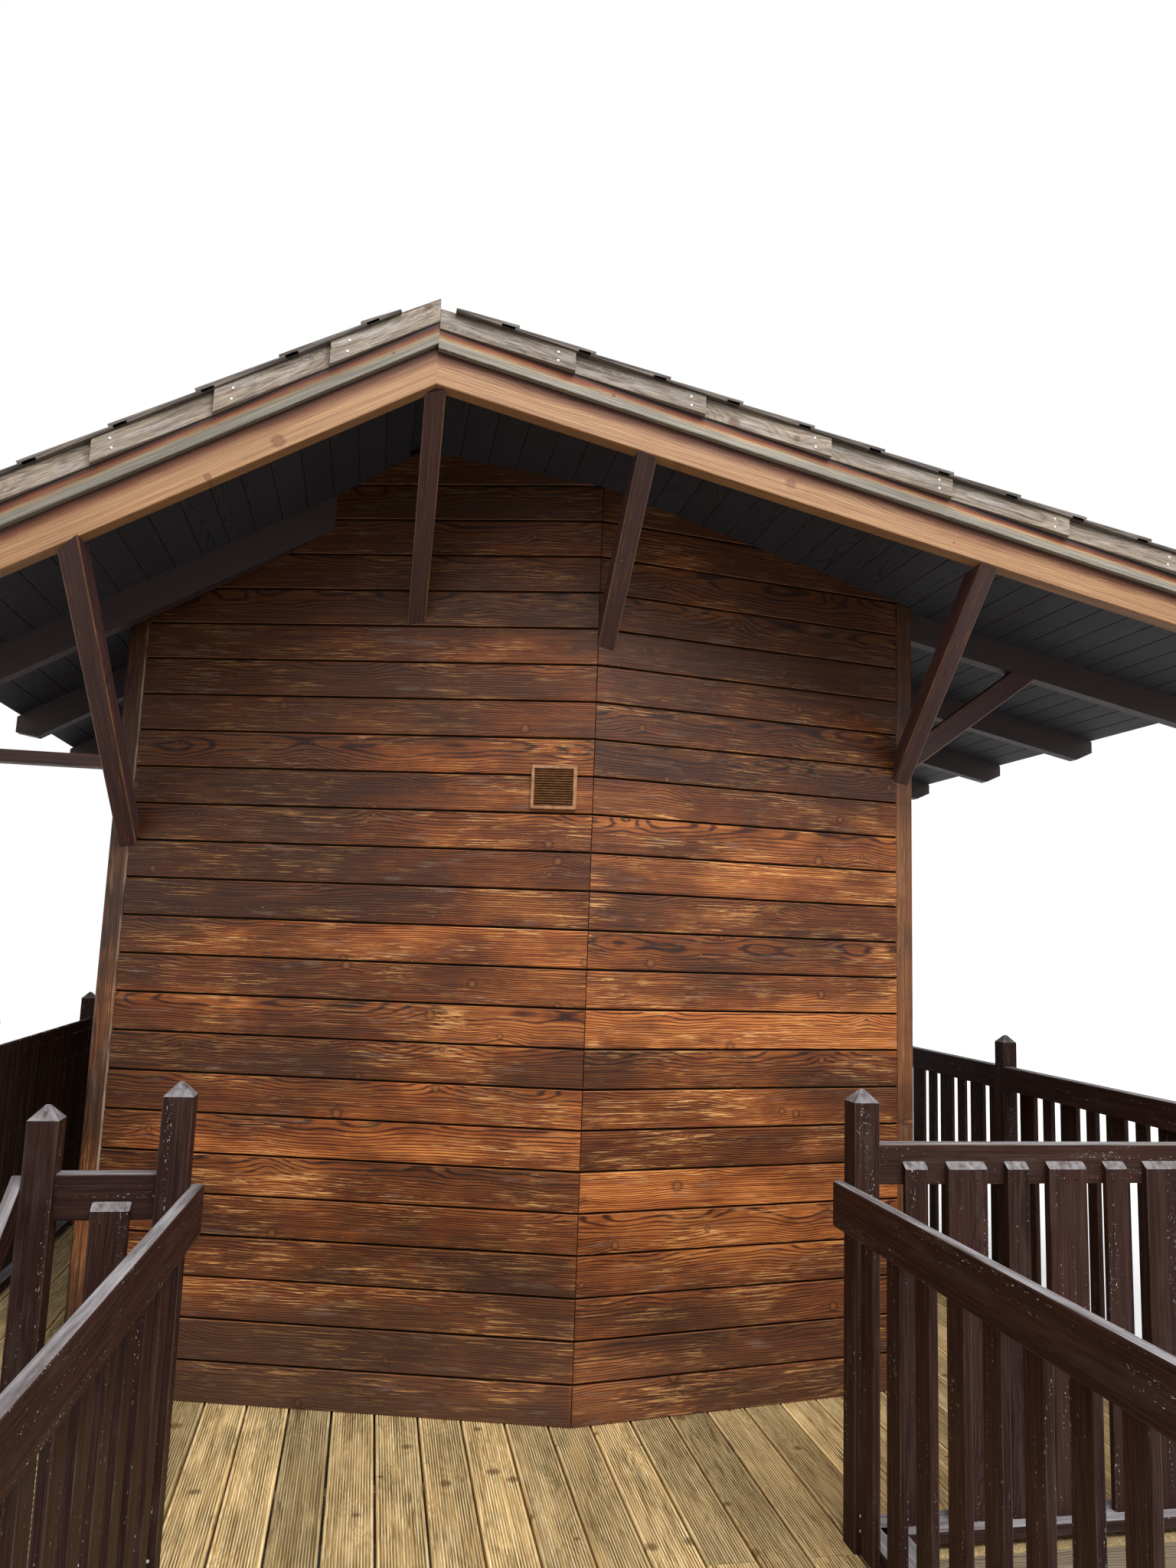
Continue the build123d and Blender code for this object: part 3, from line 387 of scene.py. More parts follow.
# Glazed spruce: red-brown stain, worn to gold along fibres, with gold along the board edges that is partly wear
# and partly a painted highlight, and a dull grey film
wall_wood = timber(
    "glazed_spruce_boards", "#271007 #6c361b #9d5628 #db924c", (0.24, 0.45, 0.62, 0.85),
    roughness=0.45, relief=0.0008, ring=0.0065, rings=0.34, spread=0.25, knots=("#36190b", "#a86a36"),
    streaks=("#f2b874", 0.56, 0.595), specks=("#f0c48a", 0.7, 0.8), haze=("#8d7a6e", 0.6, 0.84),
    # Gold on the board edges: partly wear, partly a painted highlight
    edges=("#c8803f", 0, 0.5), gloss=0.35,
    # Greyer and darker where less open: partly weathering, and painted shade under the roof and to the left
    weather_and_shade=[(0, "#77767f"), (0.3, "#8d8686"), (0.6, "#bcaea5"), (0.9, "#ffffff")],
)
# Rough boards behind the gaps, in deep shade and so nearly black
core_wood = timber("shaded_core_boards", "#0d0706 #1c100c", (0.3, 0.7), roughness=0.9, spread=0.1)

deck_top = 0.56
ridge_x, ridge_underside = -0.9365, 4.057
rafter_depth = 0.12
wall_thickness, board_thickness = 0.08, 0.02
board_pitch, board_gap, seam_gap, thinnest_row = 0.145, 0.008, 0.002, 0.01
corners = np.array(
    [(-2.0595, -0.629), (-0.2435, -1.119), (1.1735, -0.899),
     (1.1735, 2.859), (-0.2435, 3.079), (-2.0595, 2.589)]
)
# Each slope's side of the ridge, its pitch and its eave
slopes = {"left": (-1, radians(31.2), -2.6505), "right": (1, radians(11.9), 2.7035)}


def slope_frame(side):
    """Downhill direction and upward normal of a slope with pitch p: (s cos p, 0, -sin p) and
    (s sin p, 0, cos p), with s -1 on the left and 1 on the right."""
    s, pitch, _ = slopes[side]
    return np.array((s * cos(pitch), 0, -sin(pitch))), np.array((s * sin(pitch), 0, cos(pitch)))


def slope_plane(side, above):
    """Plane at a depth above the rafters' lower edges, square to the slope."""
    normal = slope_frame(side)[1]
    return np.array((ridge_x, 0, ridge_underside)) + above * normal, normal


def slope_level(x, above, side=None):
    """Height of that plane over a place across the roof."""
    point, normal = slope_plane(side or ("left" if x < ridge_x else "right"), above)
    return point[2] - (x - point[0]) * normal[0] / normal[2]


def wall_boards(index, start_post, end_post, opening=None):
    """Rows of boards and the core behind them, from one outer corner to the next, stopping short
    of corner posts and of an opening (low y, high y, top)."""
    start, end = np.append(corners[index], 0), np.append(corners[(index + 1) % 6], 0)
    along = unit(end - start)
    inward = np.cross(up, along)
    peak_x = ridge_x if index in (0, 4) else start[0]
    top = max(slope_level(x, rafter_depth) for x in (start[0], end[0], peak_x))
    lows = np.arange(deck_top, top, board_pitch)
    highs = np.minimum(lows + board_pitch - board_gap, top + 1 if along[0] else top)
    rows = highs > lows + thinnest_row
    lows, highs = lows[rows], highs[rows]
    parts = []
    for part, (tops, depth, thickness, radius) in enumerate((
        (highs, 0, board_thickness, 0.003),
        (np.append(lows[1:], highs[-1]), board_thickness, wall_thickness - board_thickness, 0),
    )):
        origin = start + depth * inward + lows[:, None] * up
        insets = [wall_thickness if post else seam_gap * (1 - part) for post in (start_post, end_post)]
        first, last = [(start + insets[0] * along, along)], [(end - insets[1] * along, along)]
        if along[0]:
            for limits, side in zip((first, last), ("left", "right") if along[0] > 0 else ("right", "left")):
                limits.append(slope_plane(side, rafter_depth))
        runs = [(slice(None), first, last)]
        if opening:
            beside = lows < opening[2] - 0.002
            jambs = [[(np.array((0, y, 0)), along)] for y in opening[:2]]
            runs = [(beside, first, jambs[0]), (beside, jambs[1], last), (~beside, first, last)]
        for keep, one, other in runs:
            parts.append(planks(origin[keep], along, up, inward, (tops - lows)[keep], thickness, one, other,
                                radius, part))
    return parts


door_opening = (0.555, 1.405, 2.56)
wall_rows = {
    "front_wall_left": (0, True, False),
    "front_wall_right": (1, False, True),
    "right_wall": (2, True, True, door_opening),
    "back_wall_right": (3, True, False),
    "back_wall_left": (4, False, True),
    "left_wall": (5, True, True),
}
for wall, settings in wall_rows.items():
    make(f"{wall}_boards", wall_boards(*settings), wall, "wall_boards", wall_wood, core_wood)

# Corner posts: squared spruce at the four outer corners, cut along the roof boards, their
# edges rubbed pale. Each fills the corner that the boards of two walls leave
corner_wood = timber(
    "rubbed_corner_spruce", "#26130a #4d2c17 #744523 #a06838",
    roughness=0.5, rings=0.2, knots=("#2a160d", "#a26f3d"), streaks=("#c08d58", 0.56, 0.66),
    haze=("#85756a", 0.58, 0.8), edges=("#a9967f", -0.3, 0.85),
    # Greyer and darker where less open: partly weathering, and painted shade under the roof and to the left, as
    # on the walls
    weather_and_shade=[(0, "#8a8382"), (0.5, "#c4bbb4"), (1, "#ffffff")],
)


def mitre(index):
    """Inner corner behind an outer one: the walls' inner faces meet there, a wall thickness in."""
    ahead = unit(corners[index - 1] - corners[index]) + unit(corners[(index + 1) % 6] - corners[index])
    half_cos = np.hypot(*ahead) / 2
    return corners[index] + unit(ahead) * wall_thickness / (1 - half_cos**2) ** 0.5


posts = []
for index in (0, 2, 3, 5):
    corner = corners[index]
    run, back = (unit(neighbour - corner) for neighbour in (corners[(index + 1) % 6], corners[index - 1]))
    ahead, behind = corner + run * wall_thickness, corner + back * wall_thickness
    plan = [corner, ahead - 0.011 * run, ahead - 0.009 * run, ahead, mitre(index), behind]
    tops = [slope_level(x, rafter_depth) for x, _ in plan]
    ring = [[(*place, level) for place, level in zip(plan, levels)]
            for levels in ([deck_top] * len(plan), tops)]
    posts.append(skin([ring], up, (*run, 0), (0, 0, 1, 1, 0, 0)))
make("corner_posts_sawn", posts, "corner_posts", "corner_timber", corner_wood, bevel=0.007)

# Door in the right wall: a ledged leaf of six upright boards in a frame of planed spruce. The
# leaf stands 20 mm behind the frame's face and 3 mm clear of its sides
door_low, door_high, door_top = door_opening
jamb, leaf_gap, leaf_setback, leaf_thickness = 0.045, 0.003, 0.02, 0.04
wall_outer = corners[2][0]
wall_inner = wall_outer - wall_thickness
lining = boxes(
    [(wall_inner, door_low, deck_top), (wall_inner, door_high - jamb, deck_top),
     (wall_inner, door_low + jamb, door_top - jamb), (wall_inner, door_low + jamb, deck_top)],
    [(wall_outer, door_low + jamb, door_top), (wall_outer, door_high, door_top),
     (wall_outer, door_high - jamb, door_top), (wall_outer, door_high - jamb, deck_top + jamb)],
)
make("door_frame_planed", [lining], "door_frame", "corner_timber", corner_wood)
leaf_inner, leaf_outer = wall_outer - leaf_setback - leaf_thickness, wall_outer - leaf_setback
leaf_low, leaf_high = door_low + jamb + leaf_gap, door_high - jamb - leaf_gap
leaf_foot, leaf_top = deck_top + jamb, door_top - jamb - leaf_gap
leaf_edges = np.linspace(leaf_low, leaf_high, 7)
leaf_boards = boxes(
    [(leaf_inner, y + 0.001, leaf_foot) for y in leaf_edges[:-1]],
    [(leaf_outer, y - 0.001, leaf_top) for y in leaf_edges[1:]],
)
ledge_thickness, ledge_inset, ledge_half = 0.022, 0.11, 0.055
ledge_levels = leaf_foot + (leaf_top - leaf_foot) * np.array((0.15, 0.5, 0.85))
ledges = boxes(
    [(leaf_inner - ledge_thickness, leaf_low + ledge_inset, level - ledge_half) for level in ledge_levels],
    [(leaf_inner, leaf_high - ledge_inset, level + ledge_half) for level in ledge_levels],
)
make("door_leaf_boards", [leaf_boards, ledges], "door_leaf", "wall_boards", wall_wood)

# Floor: planed spruce boards 119 mm wide and 27 mm thick along the cabin, laid between the
# walls on the deck. Planed wood is pale and smooth, and its year rings and knots show clearly
floor_wood = timber(
    "planed_floor_spruce", "#8a6338 #b48a56 #cba672", (0.2, 0.5, 0.8), knots=("#4a2c17", "#96683a")
)
floor_pitch, floor_gap, floor_top = 0.12, 0.001, deck_top + 0.027
inner = np.array([mitre(index) for index in range(6)])
floor_left = np.arange(inner[:, 0].min(), inner[:, 0].max(), floor_pitch)
floor_right = np.minimum(floor_left + floor_pitch - floor_gap, inner[:, 0].max())
floor_rings = np.zeros((len(floor_left), 2, 4, 3))
for point, (x, z) in enumerate(
    ((floor_left, deck_top), (floor_right, deck_top), (floor_right, floor_top), (floor_left, floor_top))
):
    for station, leaves in enumerate(([0, 1, 2], [5, 4, 3])):
        wall_y = np.interp(x, *inner[leaves].T)
        floor_rings[:, station, point] = np.column_stack([x, wall_y, np.full(len(x), z)])
make("cabin_floor_boards", [skin(floor_rings, (0, 1, 0), (1, 0, 0))], "cabin_floor", "floor_boards", floor_wood)


# Vent: a pressed rim with thin sloping slats, both stove-enamelled brown. The enamel has a soft
# even shine, and dust makes it lighter in fine patches
def coat(name, material):
    """Gives a CAD node that stays in view its material."""
    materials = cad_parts[name].data.materials
    materials.clear()
    materials.append(material)


# The slats are given darker browns than the rim: a painted shade between them
for name, stops in (
    ("vent_frame", [(0.35, "#8a5c3a"), (0.7, "#b58258")]),
    ("vent_louvres", [(0.35, "#5a3a22"), (0.7, "#7d5633")]),
):
    vent_enamel = bpy.data.materials.new(f"brown_stoved_enamel_{name}")
    tree = bare_tree(vent_enamel)
    dust = node(tree, "TexNoise", {"Vector": node(tree, "TexCoord", output="Object"), "Scale": 45, "Detail": 4})
    node(tree, "OutputMaterial", [node(tree, "BsdfPrincipled", {
        "Base Color": node(tree, "ValToRGB", [dust], stops=stops),
        "Normal": node(tree, "Bump", {"Height": dust, "Distance": 0.0002}),
        "Roughness": 0.4,
        "Coat Weight": 0.3,
    })])
    coat(name, vent_enamel)

# Rafters: spruce 60 x 120. The pairs at the verges are newer and stay light, those inside are
# stained dark and let into the walls
fresh_wood = timber(
    "fresh_rafter_spruce", "#68442b #845e3f #98724e #ac8763",
    rings=0.16, spread=0.12, knots=("#5a3420", "#8a5a38"), edges=("#7a4630", 0, 0.5),
    # The upper part darkens: a painted shadow of the barge boards above
    shades=[(0.5, "#ffffff"), (0.74, "#a98270"), (0.92, "#5d4036")],
)
rafter_width, verge_front, verge_back = 0.06, -1.735, 3.695


def along_slope(side, places, low, high, width, radius=0.004):
    """Boards down a slope between the ridge and the eave, sawn plumb at both ends. low and high
    are depths square to the slope, and places are where the boards' front sides lie."""
    s, _, eave = slopes[side]
    down, normal = slope_frame(side)
    origin = [np.array((ridge_x, y, ridge_underside)) + low * normal for y in places]
    return planks(origin, down, normal, (0, 1, 0), high - low, width,
                  [((ridge_x, 0, 0), (s, 0, 0))], [((eave, 0, 0), (s, 0, 0))], radius)


inner_wood = {
    side: timber(f"stained_rafter_spruce_{side}", "#151013 #261a1c #3a2827", (0.25, 0.5, 0.75),
                 tilt=(0, -s * pitch, 0), spread=0.1)
    for side, (s, pitch, _) in slopes.items()
}
for side in slopes:
    verge_pair = along_slope(side, (verge_front, verge_back - rafter_width), 0, rafter_depth, rafter_width)
    make(f"{side}_verge_rafters_sawn", [verge_pair], f"{side}_verge_rafters", "fresh_rafter", fresh_wood)
    coat(f"{side}_rafters", inner_wood[side])

# Barge boards: thin spruce boards nailed to the verge rafters, bleached grey, with the old red
# stain left along their upper edge and, along the top, a painted shadow of the verge boards
barge_wood = timber(
    "bleached_barge_spruce", "#4d4640 #827a70 #a0988c #c4bcae",
    roughness=0.7, rings=0.25, ring=0.004, spread=0.2, knots=("#3f2c22", "#7a4c34"),
    shades=[(0.32, "#c9c9c5"), (0.46, "#e6d0ae"), (0.58, "#cf8355"), (0.72, "#8a4630"), (0.86, "#33292c")],
)
barge_thickness, barge_low, barge_high = 0.025, 0.111, 0.183
for side in slopes:
    boards = along_slope(
        side, (verge_front - barge_thickness, verge_back), barge_low, barge_high, barge_thickness, radius=0.003
    )
    make(f"{side}_barge_boards_sawn", [boards], f"{side}_barge_boards", "weathered_barge", barge_wood)

# Verge boards: short lapped boards, each screwed at its lower end over the next one down. Their
# lower ends stand proud and are grey, the upper ends keep some red stain
verge_wood = timber(
    "weathered_verge_spruce", "#423730 #685c52 #857869 #a39582",
    roughness=0.75, rings=0.12, spread=0.25, knots=("#3a2a22", "#7a5540"), streaks=("#7a4a38", 0.55, 0.68),
    haze=("#b4b0ab", 0.5, 0.72), specks=("#b9b7b0", 0.6, 0.7),
)
verge_low, roof_top = 0.175, 0.242
verge_roots = ((verge_front - barge_thickness, -1), (verge_back + barge_thickness, 1))
proud_above, proud_below, screw_proud = 0.004, 0.024, 0.0215
screw_places = []
for side, pieces in (("left", 5), ("right", 8)):
    s, _, eave = slopes[side]
    edges_x = np.linspace(ridge_x, eave, pieces + 1)
    rings = []
    for root, outward in verge_roots:
        for upper, lower in zip(edges_x[:-1], edges_x[1:]):
            ring = []
            for x, proud in ((upper, proud_above), (lower, proud_below)):
                low, high = (slope_level(x, depth, side) for depth in (verge_low, roof_top))
                face = root + outward * proud
                ring.append([(x, root, low), (x, root, high), (x, face, high), (x, face, low)])
            rings.append(ring)
            for share in (0.25, 0.7):
                x = lower - s * (0.05 + 0.012 * rng.random())
                level = slope_level(x, verge_low + (roof_top - verge_low) * share, side)
                screw_places.append(((x, root + outward * screw_proud, level), (0, outward, 0)))
    boards = skin(rings, *slope_frame(side), (0, 0, 1, 1))
    make(f"{side}_verge_boards_lapped", [boards], f"{side}_verge_boards", "weathered_verge", verge_wood,
         bevel=0.002)

# Roof deck: spruce boards about 110 mm wide along the cabin, stained dark and nailed on the
# rafters, with battens and packing above them. Their near-black colour is partly a painted shade
# under the roof
soffit_wood = timber(
    "stained_and_shaded_roof_boards", "#111317 #1d1f28 #2d2c33", (0.25, 0.5, 0.75),
    roughness=0.7, spread=0.2, knots=("#0c0809", "#3a241b"), edges=("#4a2f22", 0.1, 0.7),
)
soffit_board, soffit_pitch, soffit_gap = 0.02, 0.11, 0.002
packing_low = rafter_depth + soffit_board
for side, (s, pitch, eave) in slopes.items():
    down, normal = slope_frame(side)
    reach_down = abs(eave - ridge_x) / cos(pitch) - packing_low * tan(pitch)
    count = int(reach_down / soffit_pitch)
    starts = np.linspace(0, reach_down, count + 1)
    base = np.array((ridge_x, verge_front, ridge_underside)) + rafter_depth * normal
    soffit = planks(base + starts[:-1, None] * down, (0, 1, 0), down, normal, reach_down / count - soffit_gap,
                    soffit_board, 0, verge_back - verge_front)
    outline = ((ridge_x, packing_low), (eave, packing_low), (eave, roof_top), (ridge_x, roof_top))
    core = [[(x, y, slope_level(x, depth, side)) for x, depth in outline] for y in (verge_front, verge_back)]
    packing = skin([core], (0, 1, 0), down)
    make(f"{side}_roof_boards", [soffit, packing], f"{side}_roof_deck", "roof_boards", soffit_wood)

# Roof covering: split spruce shingles 80 to 150 mm wide in two layers, nailed in lapped courses,
# seven down the left slope and fourteen down the right, and greyed by rain
shingle_wood = timber(
    "weathered_split_shingles", "#2c2a2b #4a4441 #645a53 #83786d", (0.2, 0.45, 0.62, 0.8),
    roughness=0.8, relief=0.0012, rings=0.15, spread=0.4, streaks=("#8f7a63", 0.6, 0.75),
    haze=("#9a948c", 0.55, 0.78),
)
covering_front, covering_back = -1.792, 3.752
shingle_lap, eave_overhang, shingle_gap, across_count = 0.06, 0.03, 0.002, 48
# Heights of a shingle's butt and tail over the deck, and how far its layer stands back
layers = ((0.02, 0.0105, 0.008, 0), (0.0095, 0, 0.004, 0.014))
for side, courses in (("left", 7), ("right", 14)):
    _, pitch, eave = slopes[side]
    down, normal = slope_frame(side)
    step = abs(eave - ridge_x) / cos(pitch) / courses
    course = np.arange(courses)[:, None]
    parts = []
    for butt_top, butt_low, tail_top, setback in layers:
        widths = rng.uniform(0.08, 0.15, (courses, across_count))
        joints = np.cumsum(widths, 1) / widths.sum(1, keepdims=True) * (covering_back - covering_front)
        joints = covering_front + np.concatenate([np.zeros((courses, 1)), joints], 1)
        low_y, high_y = joints[:, :-1] + shingle_gap / 2, joints[:, 1:] - shingle_gap / 2
        jitter = rng.uniform(0, 0.005, low_y.shape) + setback
        sink = rng.uniform(0, 0.0015, low_y.shape)
        butt = step * (courses - course) - jitter + np.where(course == 0, eave_overhang / cos(pitch), 0)
        tail = step * (courses - course - 1) - np.where(course == courses - 1, 0, shingle_lap)
        tail = np.broadcast_to(np.maximum(tail, 0), butt.shape)
        rings = np.zeros((courses, across_count, 2, 4, 3))
        for station, (distance, high, low) in enumerate(((tail, tail_top, 0), (butt, butt_top, butt_low))):
            run = np.maximum(distance - roof_top * tan(pitch), 0)[..., None]
            for point, (y, height) in enumerate(((low_y, low), (high_y, low), (high_y, high), (low_y, high))):
                above = (roof_top + height - sink * (height == high))[..., None]
                rings[:, :, station, point] = (ridge_x, 0, ridge_underside) + run * down + above * normal
                rings[:, :, station, point, 1] = y
        parts.append(skin(rings.reshape(-1, 2, 4, 3), down, (0, 1, 0)))
    make(f"{side}_shingles", parts, f"{side}_roof_covering", "shingles", shingle_wood)

# Ridge boards: two rows of spruce boards bedded on the top courses, the left one reaching over
# the right
ridge_board, ridge_reach, ridge_gap = 0.014, 0.15, 0.002
ridge_ends = np.linspace(-1.732, 3.692, 4)
ridge_parts = []
for x_low, z_low, x_high, z_high in (
    (ridge_x - ridge_reach, 4.2670, ridge_x, 4.3493), (ridge_x, 4.3125, ridge_x + ridge_reach, 4.2880),
):
    plan = [(x_low, z_low), (x_high, z_high), (x_high, z_high + ridge_board), (x_low, z_low + ridge_board)]
    for y_low, y_high in zip(ridge_ends[:-1], ridge_ends[1:]):
        ring = [[(x, y, z) for x, z in plan] for y in (y_low, y_high - ridge_gap)]
        ridge_parts.append(skin([ring], (0, 1, 0), (1, 0, 0), (0, 0, 1, 1)))
make("ridge_boards_sawn", ridge_parts, "ridge_cap", "shingles", shingle_wood, bevel=0.003)

# Braces: spruce 70 x 88 from the end walls up to the verge rafters, cut to the rafters above and
# to the wall below, 60 x 88 side braces on the right and small level ties on the left
# Dark red-brown stain, rubbed pale along the edges
brace_wood = timber(
    "stained_brace_spruce", "#1b1011 #352222 #4a302f #68443e",
    roughness=0.55, rings=0.18, spread=0.15, knots=("#24130f", "#8a5636"), streaks=("#b0683a", 0.58, 0.7),
    edges=("#b98a60", 0.15, 0.9),
)
brace_width, side_brace_width, brace_depth, brace_setback = 0.07, 0.06, 0.088, 0.008
# Places across from the ridge of the heads and feet of the four knee braces, and their falls
knees = ((-1.082, -1.052, 38), (0, 0, 36.6), (0.725, 0.725, 40.6), (1.991, 2.056, 39.5))
middle_y = 0.98


def falling_brace(head, inward, angle, width, wall):
    """A brace that falls inwards from its head: its lower edge starts there, and it is cut by the
    rafters' undersides above and by a wall's face below."""
    fall = radians(angle)
    along, through = inward * cos(fall) - sin(fall) * up, inward * sin(fall) + cos(fall) * up
    across = np.cross(through, along)
    roof = [slope_plane(side, 0) for side, (s, _, _) in slopes.items()
            if s * (head[0] - ridge_x) > -brace_width / 2]
    return planks(head - across * width / 2, along, across, through, width, brace_depth, roof, [wall],
                  radius=0.005)


for end, facing, verge_face in (("front", 1, verge_front), ("back", -1, verge_back)):
    parts = []
    for head, foot, angle in knees:
        index = 0 if ridge_x + foot < corners[1][0] else 1
        wall_y = np.interp(ridge_x + foot, *corners[:3].T)
        inward = unit(np.array((foot - head, facing * (wall_y - verge_front), 0)))
        head_x = ridge_x + head
        head_point = np.array((head_x, verge_face + facing * brace_setback, slope_level(head_x + 1e-9, 0)))
        run = unit(corners[index + 1] - corners[index])
        x, y = corners[index]
        wall = ((x, y if facing > 0 else 2 * middle_y - y, 0), (-run[1], run[0] * facing, 0))
        parts.append(falling_brace(head_point, inward, angle, brace_width, wall))
    make(f"{end}_knee_braces_sawn", parts, f"{end}_knee_braces", "brace_timber", brace_wood)

side_places = (-0.81, 2.77)
side_angle, side_drop, side_reach = 37, 0.603, 1.79
foot_level = slope_level(wall_outer, 0) - side_drop
outwards = np.array((1, 0, 0))
parts = []
for y in side_places:
    head_point = np.array((wall_outer + side_reach, y, foot_level + side_reach * tan(radians(side_angle))))
    wall = ((wall_outer, 0, 0), -outwards)
    parts.append(falling_brace(head_point, -outwards, side_angle, side_brace_width, wall))
make("side_braces_sawn", parts, "side_braces", "brace_timber", brace_wood)

tie_low, tie_size, tie_half, tie_end = 2.835, 0.048, 0.03, -2.5605
parts = [
    boxes([(tie_end + tie_size, y - tie_half, tie_low) for y in side_places],
          [(corners[0][0], y + tie_half, tie_low + tie_size) for y in side_places]),
    planks([(tie_end, y - tie_half, tie_low) for y in side_places], up, (1, 0, 0), (0, 1, 0), tie_size,
           2 * tie_half, 0, [slope_plane("left", 0)]),
]
make("eave_ties_sawn", parts, "eave_ties", "brace_timber", brace_wood)

# Frame under the deck: sawn pressure-treated pine, legs 95 mm square, beams 95 x 145, joists
# and rim boards 45 x 145, greyed outdoors
treated_wood = timber(
    "treated_frame_pine", "#4b4030 #74654b #8b7865 #a3937a", (0.2, 0.45, 0.62, 0.8),
    roughness=0.7, rings=0.35, knots=("#3a2c1d", "#8a6a45"), specks=("#d8d2c4", 0.66, 0.7),
    edges=("#b3a68f", 0.1, 0.6),
)
joist_top, beam_top, leg_top = 0.532, 0.387, 0.242
rim, beam = 0.045, 0.095
terrace_left, terrace_right, terrace_front, terrace_back = -2.7335, 2.3265, -2.01, 3.97
walkway_left, walkway_right, walkway_front = -1.6395, 0.4965, -3.97
terrace_middle, leg_span, leg_outset = -0.2035, 5.7, 0.0475
terrace_beams = (terrace_left + rim + beam, terrace_middle, terrace_right - rim - beam)
walkway_beams = (walkway_left + beam, walkway_right - beam)
legs = [(x + shift, y) for x, shift in zip(terrace_beams, (-leg_outset, 0, leg_outset))
        for y in middle_y + leg_span * (np.arange(4) / 3 - 0.5)]
legs = np.array(legs + [(x, walkway_front + rim + beam) for x in walkway_beams])
leg_boxes = boxes(
    np.column_stack([legs - beam / 2, np.zeros(len(legs))]),
    np.column_stack([legs + beam / 2, np.full(len(legs), leg_top)]),
    radius=0.005,
)
make("deck_legs", [leg_boxes], "deck_posts", "frame_timber", treated_wood)
beam_runs = [(x, terrace_front + rim, terrace_back - rim) for x in terrace_beams]
beam_runs += [(x, walkway_front, terrace_front) for x in walkway_beams]
beam_boxes = boxes(
    [(x - beam / 2, y, leg_top) for x, y, _ in beam_runs],
    [(x + beam / 2, y, beam_top) for x, _, y in beam_runs],
    radius=0.005,
)
make("deck_beams_sawn", [beam_boxes], "deck_beams", "frame_timber", treated_wood)
joists, rims = [], []
for low_x, high_x, low_y, high_y, count in (
    (terrace_left, terrace_right, terrace_front, terrace_back, 9),
    (walkway_left, walkway_right, walkway_front, terrace_front, 3),
):
    for y in (low_y + high_y) / 2 + (high_y - low_y) / (count + 1) * (np.arange(count) - (count - 1) / 2):
        joists.append(boxes([(low_x + rim, y - rim / 2, beam_top)], [(high_x - rim, y + rim / 2, joist_top)]))
    rims.append(boxes(
        [(low_x, low_y, beam_top), (low_x, high_y - rim, beam_top), (low_x, low_y + rim, beam_top),
         (high_x - rim, low_y + rim, beam_top)],
        [(high_x, low_y + rim, joist_top), (high_x, high_y, joist_top), (low_x + rim, high_y - rim, joist_top),
         (high_x, high_y - rim, joist_top)],
        radius=0.004,
    ))
make("deck_joists_sawn", joists, "deck_joists", "frame_timber", treated_wood)
make("deck_rims_sawn", rims, "deck_rims", "frame_timber", treated_wood)

# Deck: pine boards 142 x 28 on a pitch of 150 mm with fine grooves along them. On the walkway
# every other row is one long board that runs on into the terrace
# Pine worn pale, with dark dirt in the grooves and greenish growth in patches
deck_wood = timber(
    "grooved_deck_pine", "#7b5f32 #c2a067 #e2c68f #f8e6bb",
    roughness=0.65, relief=0.0008, rings=0.14, spread=0.3, knots=("#4a3018", "#8d6632"),
    haze=("#8c8f58", 0.56, 0.86), streaks=("#4f3b1b", 0.5, 0.62), edges=("#4d3d20", 0.4, 0.85),
)
deck_board, deck_width, deck_pitch, deck_joint_x = 0.028, 0.1418, 0.1503, -0.922
groove_count, groove_depth, groove_flank, flat_edge, arris = 15, 0.0025, 0.0008, 0.007, 0.003
joint_gap, narrowest_row = 0.002, 0.02


def grooved(x_low, x_high, y_low, y_high):
    """A deck board: the top of its outline is a row of shallow grooves, each a trapezium of four
    points, between two flat edges."""
    width = x_high - x_low
    pitch = (width - 2 * flat_edge) / groove_count
    half = pitch * 0.3
    middles = (np.arange(groove_count) + 0.5) * pitch + flat_edge
    tops = (middles[:, None] + (-half, groove_flank - half, half - groove_flank, half)).ravel()
    drops = np.tile((0, groove_depth, groove_depth, 0), groove_count)
    x, z = np.concatenate([
        [(0, 0), (0, deck_board - arris), (arris, deck_board)],
        np.column_stack([tops, deck_board - drops]),
        [(width - arris, deck_board), (width, deck_board - arris), (width, 0)],
    ]).T
    ring = [np.column_stack([x_low + x, np.full(len(x), y), joist_top + z]) for y in (y_low, y_high)]
    edge = np.concatenate([np.zeros(3), np.tile((0, 1, 1, 0), groove_count), np.zeros(3)])
    return skin([ring], (0, 1, 0), (1, 0, 0), edge)


first_row = terrace_left + (deck_joint_x - terrace_left) % deck_pitch - deck_pitch
lefts = np.arange(first_row, terrace_right, deck_pitch) + (deck_pitch - deck_width) / 2
rights = np.minimum(lefts + deck_width, terrace_right)
lefts = np.maximum(lefts, terrace_left)
wide = rights - lefts > narrowest_row
deck_parts = []
for row, (left, right) in enumerate(zip(lefts[wide], rights[wide])):
    ends = [walkway_front, terrace_front, terrace_back]
    if right < walkway_left + 0.03 or left > walkway_right - 0.03:
        ends = ends[1:]
    elif row % 2 and left >= walkway_left and right <= walkway_right:
        ends = ends[::2]
    for y_low, y_high in zip(ends[:-1], ends[1:]):
        x_low, x_high = left, right
        if y_low < terrace_front:
            x_low, x_high = max(left, walkway_left), min(right, walkway_right)
        deck_parts.append(grooved(x_low, x_high, y_low + joint_gap, y_high - joint_gap))
make("deck_boards_grooved", deck_parts, "terrace_deck walkway_deck", "deck_boards", deck_wood)

